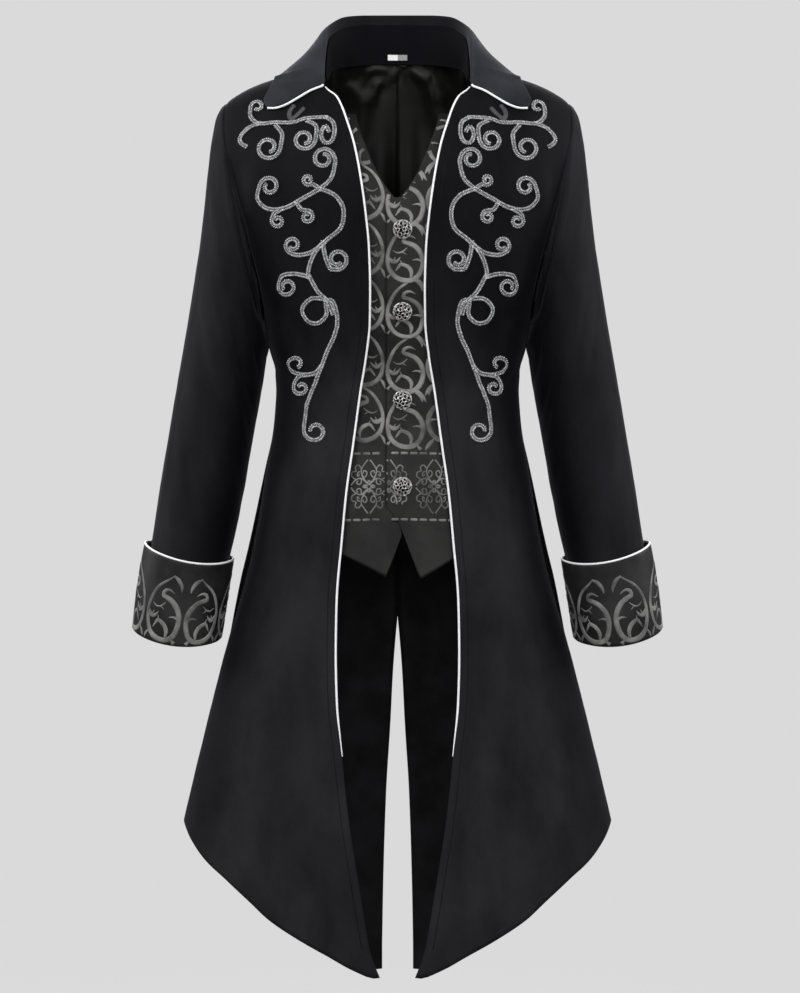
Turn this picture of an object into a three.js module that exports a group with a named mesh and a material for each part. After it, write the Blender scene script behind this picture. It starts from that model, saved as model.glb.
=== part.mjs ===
// A frock coat with a mock waistcoat, as it hangs when worn, with nobody in it.
// Millimetres. The wearer's right is -X, the front faces -Y and +Z is up.
// The origin lies in the middle of the neck opening, level with the collar notches.
import * as THREE from 'three';

const coatWall = 2;
const facingWall = 1.6;
const liningWall = 1;
const seamGap = 0.3;
const pipingRadius = 1.6;
const squareness = 2.3;
const notchHeight = 0;
const chestHeight = -150;
const armholeBottom = -285;
const skirtTop = -700;
const ventTop = -655;
const pipingStart = 8;
const pipingEnd = -800;
const hemTip = -1064;
const backDrop = 22;
const neckPoint = { x: 82, y: 8, z: 25 };
const backNeck = { y: 72, z: 40 };
const shoulderTip = { x: 208, y: 3, z: -18 };

const cloth = { color: 0x202124, roughness: 0.75, metalness: 0 };
const liningCloth = { color: 0x161614, roughness: 0.5, metalness: 0 };
const brocade = { color: 0x55534f, roughness: 0.5, metalness: 0 };
const pipingCord = { color: 0xe8e8e8, roughness: 0.6, metalness: 0 };
const silver = { color: 0xa8a8a4, roughness: 0.35, metalness: 0.9 };
const labelTape = { color: 0xd8d8d8, roughness: 0.7, metalness: 0 };

// Body of the coat by height: half width at the side seam, and depth to the front and the back.
const bodyTable = [
  { z: 60, front: 84, back: 84 },
  { z: 0, front: 96, back: 94 },
  { z: -60, front: 107, back: 104 },
  { z: -150, front: 116, back: 110 },
  { z: -230, front: 116, back: 104 },
  { z: -285, front: 111, back: 96, width: 160 },
  { z: -313, front: 107, back: 92, width: 153.5 },
  { z: -340, front: 104, back: 89, width: 148 },
  { z: -361, front: 102, back: 87, width: 146 },
  { z: -407, front: 103, back: 89, width: 149.5 },
  { z: -450, front: 107, back: 95, width: 158 },
  { z: -570, front: 117, back: 114, width: 181 },
  { z: -688, front: 127, back: 132, width: 209 },
  { z: -811, front: 136, back: 148, width: 239 },
  { z: -885, front: 141, back: 156, width: 258 },
  { z: -1090, front: 152, back: 172, width: 305 },
];

// Armhole seam by height: its distance from the middle, and its share of the body's depth.
const armholeTable = [
  { z: -18, x: 208, share: 0.6 },
  { z: -34, x: 211, share: 0.58 },
  { z: -50, x: 210, share: 0.56 },
  { z: -94, x: 202, share: 0.53 },
  { z: -139, x: 191, share: 0.52 },
  { z: -178, x: 181, share: 0.5 },
  { z: -216, x: 171.5, share: 0.44 },
  { z: -245, x: 165.5, share: 0.34 },
  { z: -270, x: 161.5, share: 0.2 },
  { z: -285, x: 160, share: 0.001 },
];

const shoulderTable = [
  { x: 82, z: 25 },
  { x: 110, z: 21.5 },
  { x: 139, z: 14.5 },
  { x: 172, z: 3.5 },
  { x: 198, z: -10 },
  { x: 208, z: -18 },
];

// Front edge by height: its distance from the middle.
const frontEdgeTable = [
  { z: 25, x: 82 },
  { z: 12, x: 86 },
  { z: 0, x: 89 },
  { z: -13, x: 75 },
  { z: -28, x: 67.5 },
  { z: -41, x: 63 },
  { z: -74, x: 53 },
  { z: -119, x: 44.5 },
  { z: -160, x: 39 },
  { z: -197, x: 35.5 },
  { z: -246, x: 34 },
  { z: -286, x: 34.5 },
  { z: -328, x: 39 },
  { z: -368, x: 45.5 },
  { z: -430, x: 54 },
  { z: -486, x: 62 },
  { z: -547, x: 68 },
  { z: -618, x: 74 },
  { z: -680, x: 75 },
  { z: -738, x: 73.5 },
  { z: -798, x: 66.5 },
  { z: -881, x: 57 },
  { z: -936, x: 48.5 },
  { z: -997, x: 38.5 },
  { z: -1032, x: 32 },
  { z: -1064, x: 20 },
];

// Hem by distance from the middle: its height. The side corner lies at the side seam.
const hemTable = [
  { x: 14, z: -1060 },
  { x: 26, z: -1063 },
  { x: 52, z: -1054 },
  { x: 83, z: -1037 },
  { x: 118, z: -1018 },
  { x: 151, z: -997 },
  { x: 176, z: -974 },
  { x: 204, z: -950 },
  { x: 230, z: -928 },
  { x: 247, z: -905 },
  { x: 258, z: -885 },
];

const ventTable = [
  { z: -640, x: 0 },
  { z: -663, x: 2.2 },
  { z: -708, x: 5.7 },
  { z: -777, x: 9.3 },
  { z: -863, x: 14.5 },
  { z: -984, x: 18.2 },
  { z: -1053, x: 19.4 },
];

// Sleeve from shoulder to wrist: outer and inner line, half depth, and how far its front hangs down.
const sleeveTable = [
  { outerX: 219, outerZ: -36, innerX: 163.4, innerZ: -291, depth: 63, dip: 0 },
  { outerX: 224.5, outerZ: -66, innerX: 162.6, innerZ: -301, depth: 66, dip: 0 },
  { outerX: 229, outerZ: -104, innerX: 159.6, innerZ: -318, depth: 66, dip: 0 },
  { outerX: 233, outerZ: -142, innerX: 161.5, innerZ: -338, depth: 65, dip: 0 },
  { outerX: 239, outerZ: -190, innerX: 166, innerZ: -368, depth: 64, dip: 2 },
  { outerX: 247, outerZ: -244, innerX: 172.5, innerZ: -404, depth: 63, dip: 4 },
  { outerX: 259, outerZ: -316, innerX: 180.5, innerZ: -448, depth: 61, dip: 6 },
  { outerX: 273, outerZ: -398, innerX: 188, innerZ: -493, depth: 59, dip: 8 },
  { outerX: 286, outerZ: -476, innerX: 197, innerZ: -537, depth: 57, dip: 11 },
  { outerX: 297.5, outerZ: -550, innerX: 207, innerZ: -580, depth: 54, dip: 14 },
  { outerX: 306, outerZ: -604, innerX: 211.5, innerZ: -620, depth: 54, dip: 15 },
  { outerX: 312, outerZ: -650, innerX: 217.5, innerZ: -655, depth: 53, dip: 15 },
];

const cuffTable = [
  { outerX: 306, outerZ: -551, innerX: 199.5, innerZ: -571, depth: 60, dip: 13 },
  { outerX: 311, outerZ: -584, innerX: 205, innerZ: -601, depth: 59, dip: 13 },
  { outerX: 316, outerZ: -618, innerX: 210, innerZ: -632, depth: 58, dip: 14 },
  { outerX: 320.5, outerZ: -652, innerX: 214.5, innerZ: -664, depth: 57, dip: 14 },
];

// Collar fold and outer edge of the fall, from the middle of the back to the notch.
const foldTable = [
  { s: 0, x: 0, y: 78, z: 97 },
  { s: 0.2, x: 40, y: 74, z: 96.5 },
  { s: 0.32, x: 62, y: 64, z: 94 },
  { s: 0.42, x: 76, y: 47, z: 86 },
  { s: 0.52, x: 86, y: 24, z: 74 },
  { s: 0.66, x: 88, y: -3, z: 54 },
  { s: 0.8, x: 89, y: -24, z: 31 },
  { s: 0.92, x: 89, y: -39, z: 11.5 },
  { s: 1, x: 89, y: -45.5, z: 3.5 },
];
const fallEdgeTable = [
  { s: 0, x: 0, y: 92, z: 32 },
  { s: 0.2, x: 50, y: 88, z: 28 },
  { s: 0.35, x: 92, y: 68, z: 22 },
  { s: 0.5, x: 124, y: 38, z: 19.5 },
  { s: 0.62, x: 138, y: 11, z: 19.5 },
  { s: 0.75, x: 148, y: -20, z: 8 },
  { s: 0.88, x: 156, y: -37, z: -7 },
  { s: 0.95, x: 160, y: -45, z: -20 },
  { s: 1, x: 156.5, y: -51, z: -29 },
];
const standShare = 0.88;
const rollDepth = 14;
const edgeSag = 12.5;
const sagFrom = 0.8;
const backBow = 5;

// Waistcoat neck edge, and hem, by distance from the middle.
const vestNeckTable = [
  { z: -36, x: 50 },
  { z: -45, x: 48 },
  { z: -92, x: 31 },
  { z: -120, x: 17 },
  { z: -140, x: 2 },
];
const vestGap = 9;
const vestNeckFoot = -140;
const vestTuck = 14;
const vestAhead = facingWall + seamGap + 0.6;
const vestSideX = 128;
const vestPlacketEnd = -500;
const overHemTable = [
  { x: -14, z: -504 },
  { x: 1, z: -523 },
  { x: 14, z: -558 },
  { x: 27, z: -592 },
  { x: 46, z: -581 },
  { x: 67, z: -568 },
  { x: 100, z: -552 },
  { x: vestSideX, z: -536 },
];
const underHemTable = [
  { x: -6, z: -538 },
  { x: 4, z: -565 },
  { x: 14, z: -590 },
  { x: 32, z: -580 },
  { x: 50, z: -571 },
  { x: 67, z: -563 },
  { x: 100, z: -548 },
  { x: vestSideX, z: -532 },
];
const buttonTable = [{ z: -176 }, { z: -274 }, { z: -379 }, { z: -482 }];
const buttonX = 6;
const buttonRadius = 11.6;
const buttonRise = 6.5;

const labelSize = { x: 24, z: 7, depth: 0.6 };

// Value of one column of a table at a key, on a smooth curve without overshoot.
function along(table, key, name, at) {
  const rows = table.filter((row) => name in row);
  const keys = rows.map((row) => row[key]);
  const rising = keys[1] > keys[0] ? 1 : -1;
  let i = keys.findIndex((value) => (value - at) * rising >= 0);
  if (i === -1) return rows[rows.length - 1][name];
  if (i === 0) return rows[0][name];
  i -= 1;
  const slope = (j) => {
    if (j <= 0 || j >= rows.length - 1) return null;
    const before = (rows[j][name] - rows[j - 1][name]) / (keys[j] - keys[j - 1]);
    const after = (rows[j + 1][name] - rows[j][name]) / (keys[j + 1] - keys[j]);
    return before * after <= 0 ? 0 : 2 * before * after / (before + after);
  };
  const step = keys[i + 1] - keys[i];
  const chord = (rows[i + 1][name] - rows[i][name]) / step;
  const startSlope = slope(i) ?? chord;
  const endSlope = slope(i + 1) ?? chord;
  const t = (at - keys[i]) / step;
  return rows[i][name] * (1 + 2 * t) * (1 - t) ** 2 + startSlope * step * t * (1 - t) ** 2
    + rows[i + 1][name] * t * t * (3 - 2 * t) - endSlope * step * t * t * (1 - t);
}

const lerp = THREE.MathUtils.lerp;
const radians = THREE.MathUtils.degToRad;
const round = (share) => (1 - share ** squareness) ** (1 / squareness);

// Half width of the body at a height. Beside the arm it follows from the armhole.
function bodyWidth(z) {
  if (z <= armholeBottom) return along(bodyTable, 'z', 'width', z);
  return along(armholeTable, 'z', 'x', z) / round(along(armholeTable, 'z', 'share', z));
}

// Line where the front or back starts at the top: shoulder seam, and neckline inside it.
function topLine(x, face) {
  if (x >= neckPoint.x) {
    const t = (x - neckPoint.x) / (shoulderTip.x - neckPoint.x);
    return { y: lerp(neckPoint.y, shoulderTip.y, t), z: along(shoulderTable, 'x', 'z', x) };
  }
  if (face === 'front') return neckPoint;
  const t = Math.sqrt(1 - (x / neckPoint.x) ** 2);
  return { y: lerp(neckPoint.y, backNeck.y, t), z: lerp(neckPoint.z, backNeck.z, t) };
}

// Depth of the coat's surface at a place seen from the front or the back.
function surfaceY(x, z, face) {
  const away = Math.abs(x);
  const top = topLine(away, face);
  const drop = THREE.MathUtils.clamp((top.z - z) / (top.z - chestHeight), 0, 1);
  const roll = Math.sqrt(1 - (1 - drop) ** 2);
  const share = Math.min(away / bodyWidth(z), 1);
  const full = along(bodyTable, 'z', face, z) * round(share) * (face === 'front' ? -1 : 1);
  return lerp(top.y, full, roll);
}

// Moves a point out from the coat's front until it is clear of the surface by a distance.
function clearOfFront(point, distance) {
  for (let step = 0; step < 4; step += 1) {
    const { x, z } = point;
    const top = topLine(Math.abs(x), 'front');
    const y = surfaceY(x, Math.min(z, top.z), 'front');
    const slopeX = (surfaceY(x + 1, Math.min(z, top.z - 0.5), 'front')
      - surfaceY(x - 1, Math.min(z, top.z - 0.5), 'front')) / 2;
    const slopeZ = (surfaceY(x, Math.min(z, top.z - 0.5) + 0.5, 'front')
      - surfaceY(x, Math.min(z, top.z - 0.5) - 0.5, 'front'));
    const normal = new THREE.Vector3(slopeX, -1, slopeZ).normalize();
    const height = (y - point.y) * -normal.y + Math.max(z - top.z, 0) * normal.z;
    const before = point.y < top.y;
    if (before && height < distance) point.addScaledVector(normal, distance - height);
  }
  return point;
}

// Closed wall on a grid of points: rows run down, columns run round. Tubes join their last column
// to their first. The wall is centred on the grid, moved out along its normals by lift.
function wall(rows, thickness, { lift = 0, tube = false } = {}) {
  const columns = rows[0].length;
  const at = (i, j) => rows[i][tube ? (j + columns) % columns : THREE.MathUtils.clamp(j, 0, columns - 1)];
  const shells = [thickness / 2, -thickness / 2].map((offset) => rows.map((row, i) => row.map((point, j) => {
    const down = at(Math.min(i + 1, rows.length - 1), j).clone().sub(at(Math.max(i - 1, 0), j));
    const across = at(i, j + 1).clone().sub(at(i, j - 1));
    const normal = across.cross(down).normalize();
    return point.clone().addScaledVector(normal, -(lift + offset));
  })));
  const positions = shells.flat(2).flatMap((point) => [point.x, point.y, point.z]);
  const index = (shell, i, j) => (shell * rows.length + i) * columns + (j % columns);
  const faces = [];
  const quad = (a, b, c, d) => faces.push(a, b, c, a, c, d);
  const last = tube ? columns : columns - 1;
  for (let i = 0; i < rows.length - 1; i += 1) {
    for (let j = 0; j < last; j += 1) {
      quad(index(0, i, j), index(0, i + 1, j), index(0, i + 1, j + 1), index(0, i, j + 1));
      quad(index(1, i, j), index(1, i, j + 1), index(1, i + 1, j + 1), index(1, i + 1, j));
    }
  }
  const bottom = rows.length - 1;
  for (let j = 0; j < last; j += 1) {
    quad(index(0, 0, j), index(0, 0, j + 1), index(1, 0, j + 1), index(1, 0, j));
    quad(index(0, bottom, j), index(1, bottom, j), index(1, bottom, j + 1), index(0, bottom, j + 1));
  }
  for (let i = 0; i < bottom && !tube; i += 1) {
    quad(index(0, i, 0), index(1, i, 0), index(1, i + 1, 0), index(0, i + 1, 0));
    quad(index(0, i, last), index(0, i + 1, last), index(1, i + 1, last), index(1, i, last));
  }
  const geometry = new THREE.BufferGeometry();
  geometry.setAttribute('position', new THREE.Float32BufferAttribute(positions, 3));
  geometry.setIndex(faces);
  return geometry;
}

// Volume enclosed by a closed geometry, below zero when its faces point in.
function signedVolume(geometry) {
  const place = geometry.attributes.position;
  const corners = [0, 1, 2].map(() => new THREE.Vector3());
  let volume = 0;
  for (let i = 0; i < geometry.index.count; i += 3) {
    corners.forEach((corner, k) => corner.fromBufferAttribute(place, geometry.index.getX(i + k)));
    volume += corners[0].dot(corners[1].cross(corners[2])) / 6;
  }
  return volume;
}

const coat = new THREE.Group();

// Adds a node, with the faces turned outwards. side -1 is the wearer's right, as all shapes
// are worked out on +X.
function add(name, geometry, material, side = 1) {
  if (side === -1) geometry.scale(-1, 1, 1);
  if (geometry.index && signedVolume(geometry) < 0) {
    geometry.setIndex(Array.from(geometry.index.array).reverse());
  }
  geometry.computeVertexNormals();
  const mesh = new THREE.Mesh(geometry, new THREE.MeshStandardMaterial(material));
  mesh.name = name;
  coat.add(mesh);
  return mesh;
}

const sides = [{ name: 'left', sign: 1 }, { name: 'right', sign: -1 }];
const rollAngles = [0, 12, 22, 31.1, 38.5, 46, 55, 65, 78, 90];
const bodyHeights = [-190, -230, -262, -285, -313, -340, -368, -407, -450, -510, -575, -640, skirtTop];
const skirtSteps = [0.2, 0.4, 0.6, 0.8, 1];

// Height of the hem below a place on the skirt, found by stepping down to it. The back hangs
// lower than the front towards the vent.
function hemHeight(share, placeAt, extra) {
  let z = hemTip;
  for (let step = 0; step < 30; step += 1) {
    z = lerp(z, along(hemTable, 'x', 'z', placeAt(share, z)) - extra * (1 - share) ** 1.5, 0.5);
  }
  return z;
}

// Rows of a panel from its shoulder down to its hem. shares are the columns, from the middle
// edge at 0 to the side at 1; edgeX gives the middle edge, topX the columns at the top.
function panelRows(face, shares, edgeX, topX) {
  const turn = (x, z) => Math.asin(Math.min(x / bodyWidth(z), 1) ** (squareness / 2));
  const outerX = (z) => (z > armholeBottom ? along(armholeTable, 'z', 'x', z) : bodyWidth(z));
  const placeAt = (share, z) => {
    const angle = lerp(turn(edgeX(z), z), turn(outerX(z), z), share);
    return bodyWidth(z) * Math.sin(angle) ** (2 / squareness);
  };
  const point = (x, z) => new THREE.Vector3(x, surfaceY(x, z, face), z);
  const upper = rollAngles.map((angle) => shares.map((share) => {
    const drop = 1 - Math.cos(radians(angle));
    const top = topX(share);
    const z = lerp(topLine(top, face).z, chestHeight, drop);
    const edgeZ = lerp(topLine(topX(0), face).z, chestHeight, drop);
    const armZ = lerp(shoulderTip.z, chestHeight, drop);
    const chestX = placeAt(share, chestHeight);
    const shift = (edgeX(edgeZ) - lerp(topX(0), edgeX(chestHeight), drop)) * (1 - share) ** 2
      + (outerX(armZ) - lerp(shoulderTip.x, outerX(chestHeight), drop)) * share ** 2;
    return point(lerp(top, chestX, drop) + shift, z);
  }));
  const middle = bodyHeights.map((z) => shares.map((share) => point(placeAt(share, z), z)));
  const lower = skirtSteps.map((step) => shares.map((share) => {
    const z = lerp(skirtTop, hemHeight(share, placeAt, face === 'back' ? backDrop : 0), step);
    return point(placeAt(share, z), z);
  }));
  return [...upper, ...middle, ...lower];
}

// Moves the first and last columns and the first row in by half a seam's gap.
function trimSeams(rows, { top = true, first = true, last = true }) {
  const pull = (point, towards) => {
    const step = towards.clone().sub(point);
    point.addScaledVector(step.normalize(), seamGap);
  };
  rows.forEach((row) => {
    if (first) pull(row[0], row[1]);
    if (last) pull(row[row.length - 1], row[row.length - 2]);
  });
  if (top) rows[0].forEach((point, j) => pull(point, rows[1][j]));
  return rows;
}

const frontShares = [0, 0.07, 0.16, 0.28, 0.41, 0.54, 0.67, 0.79, 0.9, 1];
const frontEdgeX = (z) => along(frontEdgeTable, 'z', 'x', z);
const frontTopX = (share) => lerp(neckPoint.x, shoulderTip.x, share);
const frontRows = () => trimSeams(panelRows('front', frontShares, frontEdgeX, frontTopX), { first: false });

const backTops = [0, 28, 54, 73, 82, 106, 138, 172, 206];
const backShares = [0, 0.13, 0.26, 0.37, 0.47, 0.6, 0.73, 0.87, 1];
const ventX = (z) => (z < -640 ? along(ventTable, 'z', 'x', z) : 0);
const backTopX = (share) => backTops[backShares.indexOf(share)];
const backRows = () => trimSeams(panelRows('back', backShares, ventX, backTopX), {});

function addPanels() {
  for (const side of sides) {
    add(`front_${side.name}`, wall(frontRows(), coatWall), cloth, side.sign);
    add(`back_${side.name}`, wall(backRows(), coatWall), cloth, side.sign);
    const inside = trimSeams(backRows().map((row) => row.slice(0, -1)), { top: false, last: false });
    const lift = (coatWall + liningWall) / 2 + seamGap;
    add(`lining_${side.name}`, wall(inside.slice(1), liningWall, { lift }), liningCloth, side.sign);
  }
}

// Ring of the armhole seam, from the shoulder tip down the front and up the back.
const ringSize = 18;
const armholeEase = { top: 1.2, bottom: 3.4 };
const dipLean = 0.4;
function armholeRing() {
  const ring = [];
  for (let k = 0; k < ringSize; k += 1) {
    const angle = (k / ringSize) * 2 * Math.PI;
    const z = lerp(armholeBottom, shoulderTip.z, (1 + Math.cos(angle)) / 2);
    const x = along(armholeTable, 'z', 'x', z);
    const face = angle <= Math.PI ? 'front' : 'back';
    const bottomShare = (1 - Math.cos(angle)) / 2;
    const y = k === 0 ? shoulderTip.y : surfaceY(x, z, face);
    ring.push(new THREE.Vector3(x + lerp(armholeEase.top, armholeEase.bottom, bottomShare), y, z));
  }
  return ring;
}

// Ring of a sleeve or cuff from one row of its table. It hangs by its dip in front, and hardly
// rises behind.
function sleeveRing(row) {
  const ring = [];
  for (let k = 0; k < ringSize; k += 1) {
    const angle = (k / ringSize) * 2 * Math.PI;
    const across = (1 + Math.cos(angle)) / 2;
    const forward = Math.sin(angle);
    const dip = row.dip * forward * (1 - dipLean + dipLean * forward);
    const z = lerp(row.innerZ, row.outerZ, across) - dip;
    ring.push(new THREE.Vector3(lerp(row.innerX, row.outerX, across), -forward * row.depth, z));
  }
  return ring;
}

function addSleeves() {
  for (const side of sides) {
    const rings = [armholeRing(), ...sleeveTable.map(sleeveRing)];
    add(`sleeve_${side.name}`, wall(rings, coatWall, { tube: true }), cloth, side.sign);
    const cuffRings = cuffTable.map(sleeveRing);
    add(`cuff_${side.name}`, wall(cuffRings, coatWall, { tube: true }), brocade, side.sign);
    const edge = cuffRings[0].map((point) => point.clone().add(new THREE.Vector3(0, 0, pipingRadius + seamGap)));
    add(`piping_cuff_${side.name}`, cordAlong(edge, true), pipingCord, side.sign);
  }
}

// Round cord through a list of points.
const cordSides = 6;
function cordAlong(points, ring = false) {
  const count = points.length;
  const rows = points.map((point, i) => {
    const next = points[ring ? (i + 1) % count : Math.min(i + 1, count - 1)];
    const before = points[ring ? (i + count - 1) % count : Math.max(i - 1, 0)];
    const tangent = next.clone().sub(before).normalize();
    const aside = new THREE.Vector3(0, 0, 1).cross(tangent);
    if (aside.length() < 0.3) aside.set(1, 0, 0).cross(tangent);
    aside.normalize();
    const up = tangent.clone().cross(aside);
    return Array.from({ length: cordSides }, (_, corner) => {
      const angle = (corner / cordSides) * 2 * Math.PI;
      return point.clone()
        .addScaledVector(aside, pipingRadius * Math.cos(angle))
        .addScaledVector(up, pipingRadius * Math.sin(angle));
    });
  });
  const positions = rows.flat().flatMap((point) => [point.x, point.y, point.z]);
  const faces = [];
  const last = ring ? count : count - 1;
  for (let i = 0; i < last; i += 1) {
    const here = i * cordSides;
    const there = ((i + 1) % count) * cordSides;
    for (let k = 0; k < cordSides; k += 1) {
      const next = (k + 1) % cordSides;
      faces.push(here + k, there + k, there + next, here + k, there + next, here + next);
    }
  }
  for (let k = 1; k < cordSides - 1 && !ring; k += 1) {
    faces.push(0, k, k + 1);
    const end = (count - 1) * cordSides;
    faces.push(end, end + k + 1, end + k);
  }
  const geometry = new THREE.BufferGeometry();
  geometry.setAttribute('position', new THREE.Float32BufferAttribute(positions, 3));
  geometry.setIndex(faces);
  return geometry;
}

function tablePoint(table, s) {
  return new THREE.Vector3(...['x', 'y', 'z'].map((name) => along(table, 's', name, s)));
}

// Neckline from the middle of the back, past the neck point, to the notch.
function neckline(s) {
  if (s <= 0.5) {
    const x = neckPoint.x * Math.sin(s * Math.PI);
    const top = topLine(x, 'back');
    return new THREE.Vector3(x, top.y, top.z);
  }
  const notchAngle = Math.acos(1 - (neckPoint.z - notchHeight) / (neckPoint.z - chestHeight));
  const z = neckPoint.z - (neckPoint.z - chestHeight) * (1 - Math.cos((s - 0.5) * 2 * notchAngle));
  const x = frontEdgeX(z);
  return new THREE.Vector3(x, surfaceY(x, z, 'front'), z);
}

// How much of the full stand is left at s: 1 at the back, 0 at the notch.
const standFade = { from: 0.45, least: 0.08 };
const standFullness = (s) => THREE.MathUtils.clamp((1 - s) / standFade.from, standFade.least, 1);

// Level direction from the neck out through the collar.
function collarOutward(s) {
  const fold = tablePoint(foldTable, s);
  const after = tablePoint(foldTable, Math.min(s + 0.02, 1));
  const before = tablePoint(foldTable, Math.max(s - 0.02, 0));
  const outward = after.sub(before).setZ(0).cross(new THREE.Vector3(0, 0, 1)).normalize();
  return outward.dot(new THREE.Vector3(fold.x, fold.y, 0)) < 0 ? outward.negate() : outward;
}

function rollPoint(s, inward, drop) {
  const point = tablePoint(foldTable, s).addScaledVector(collarOutward(s), -inward);
  return point.setZ(point.z - drop);
}

// How far the stand keeps inside the fold and below it, and above its seam.
const standTuck = { inward: 3.2, below: 1.5, seat: 0.6 };

function standSection(s) {
  const foot = neckline(s);
  foot.z += coatWall / 2 + seamGap + standTuck.seat;
  const head = rollPoint(s, standTuck.inward, standTuck.below + rollDepth * standFullness(s));
  return [0, 0.34, 0.67, 1].map((t) => foot.clone().lerp(head, t));
}

// The fall rises inside the fold, turns over its crest and comes down on its shoulder.
const foldTurn = { startIn: 0.4, startBelow: 0.2, crestOut: 0.6, shoulderOut: 1.5, fuller: 4, below: 2.5 };
const fallClearance = coatWall + seamGap + 1.6;
const shoulderShare = 0.55;
const fallPipingGap = { out: 0.4, above: 3.4 };

function fallSection(s) {
  const full = standFullness(s);
  const start = rollPoint(s, foldTurn.startIn, foldTurn.startBelow + rollDepth * full);
  const crest = rollPoint(s, -foldTurn.crestOut, 0);
  const shoulder = rollPoint(s, -foldTurn.fuller * full - foldTurn.shoulderOut, foldTurn.below);
  const edge = tablePoint(fallEdgeTable, s);
  const section = [start, start.clone().lerp(crest, 0.55), crest, shoulder];
  for (const t of [0.3, 0.55, 0.8, 1]) {
    const point = shoulder.clone().lerp(edge, t);
    const sag = edgeSag * Math.sin(Math.PI * t ** 1.5) * Math.max(0, s - sagFrom) / (1 - sagFrom);
    point.z += backBow * Math.sin(Math.PI * t) * (1 - s) - sag;
    section.push(s > shoulderShare ? clearOfFront(point, fallClearance) : point);
  }
  return section;
}

function mirroredSections(steps, section) {
  const right = steps.filter((s) => s > 0).reverse().map((s) => section(s).map((point) => {
    const other = point.clone();
    other.x *= -1;
    return other;
  }));
  return [...right, ...steps.map((s) => section(s))];
}

const collarSteps = [0, 0.1, 0.2, 0.3, 0.38, 0.45, 0.52, 0.6, 0.68, 0.76, 0.83, 0.88, 0.94, 1];

function addCollar() {
  const standSteps = collarSteps.filter((s) => s <= standShare);
  add('collar_stand', wall(mirroredSections(standSteps, standSection), facingWall), cloth);
  add('collar_fall', wall(mirroredSections(collarSteps, fallSection), coatWall), cloth);
  for (const side of sides) {
    const edge = fallSection(1).slice(3).map((point, i) => {
      const inside = fallSection(0.94).slice(3)[i];
      const outward = point.clone().sub(inside).normalize();
      const clear = pipingRadius + seamGap + fallPipingGap.out;
      return clearOfFront(point.clone().addScaledVector(outward, clear), fallPipingGap.above);
    });
    add(`piping_collar_${side.name}`, cordAlong(edge), pipingCord, side.sign);
  }
}

function addFrontPiping() {
  for (const side of sides) {
    const edge = [];
    frontRows().forEach((row) => {
      if (row[0].z > notchHeight - pipingStart || row[0].z < pipingEnd) return;
      const outward = row[0].clone().sub(row[1]).normalize();
      edge.push(row[0].clone().addScaledVector(outward, pipingRadius + seamGap));
    });
    add(`piping_front_${side.name}`, cordAlong(edge), pipingCord, side.sign);
  }
}

// Waistcoat surface: behind the coat fronts, the over front lies ahead of the under front.
function vestPoint(x, z, ahead) {
  return new THREE.Vector3(x, surfaceY(x, z, 'front') + vestGap - ahead, z);
}

const vestTop = -10;
const vestSpread = 0.5;
const vestHeights = [-36, -45, -68, -92, -120, -140, -155, -200, -250, -300, -350, -400, -450, vestPlacketEnd];

// One waistcoat front as rows, with a column for each row of its hem table.
function vestRows(hem, ahead) {
  const inner = hem[0].x;
  const columns = hem.map((row) => ({ share: (row.x - inner) / (vestSideX - inner), ...row }));
  const sideX = (z) => Math.min(vestSideX, frontEdgeX(z) + vestTuck + vestSpread * Math.max(0, vestTop - z));
  const rows = vestHeights.map((z) => {
    const neckX = z > vestNeckFoot ? Math.max(along(vestNeckTable, 'z', 'x', z), inner) : inner;
    return columns.map((column) => vestPoint(lerp(neckX, sideX(z), column.share), z, ahead));
  });
  for (const step of [0.5, 1]) {
    rows.push(columns.map((column) => vestPoint(column.x, lerp(vestPlacketEnd, column.z, step), ahead)));
  }
  return rows;
}

const buttonClear = 0.8;
const buttonSides = 14;

function addWaistcoat() {
  const over = vestRows(overHemTable, vestAhead);
  const under = vestRows(underHemTable, 0);
  add('vest_left', wall(over, facingWall), brocade);
  add('vest_right', wall(under, facingWall), brocade, -1);
  buttonTable.forEach((row, i) => {
    const profile = [[0, 0], [0.72, 0], [1, 0.22], [0.92, 0.55], [0.62, 0.88], [0, 1]];
    const points = profile.map(([out, up]) => new THREE.Vector2(out * buttonRadius, up * buttonRise));
    const button = add(`button_${i + 1}`, new THREE.LatheGeometry(points, buttonSides), silver);
    const seat = vestPoint(buttonX, row.z, vestAhead + facingWall / 2 + seamGap).y - buttonClear;
    button.rotation.x = Math.PI;
    button.position.set(buttonX, seat, row.z);
  });
}

const labelSeat = { clear: 1.6, up: 5 };

function addLabel() {
  const label = add('neck_label', new THREE.BoxGeometry(labelSize.x, labelSize.depth, labelSize.z), labelTape);
  const behind = standSection(0)[0].y - facingWall / 2 - seamGap - labelSize.depth / 2 - labelSeat.clear;
  label.position.set(0, behind, backNeck.z + labelSeat.up);
}

addPanels();
addSleeves();
addCollar();
addFrontPiping();
addWaistcoat();
addLabel();

export default coat;
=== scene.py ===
# Frock coat as worn, with its sewn-in waistcoat front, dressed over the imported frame.
# Shapes are worked out in millimetres and become metres when a mesh is made.
import math

import bpy
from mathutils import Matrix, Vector, noise


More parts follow.
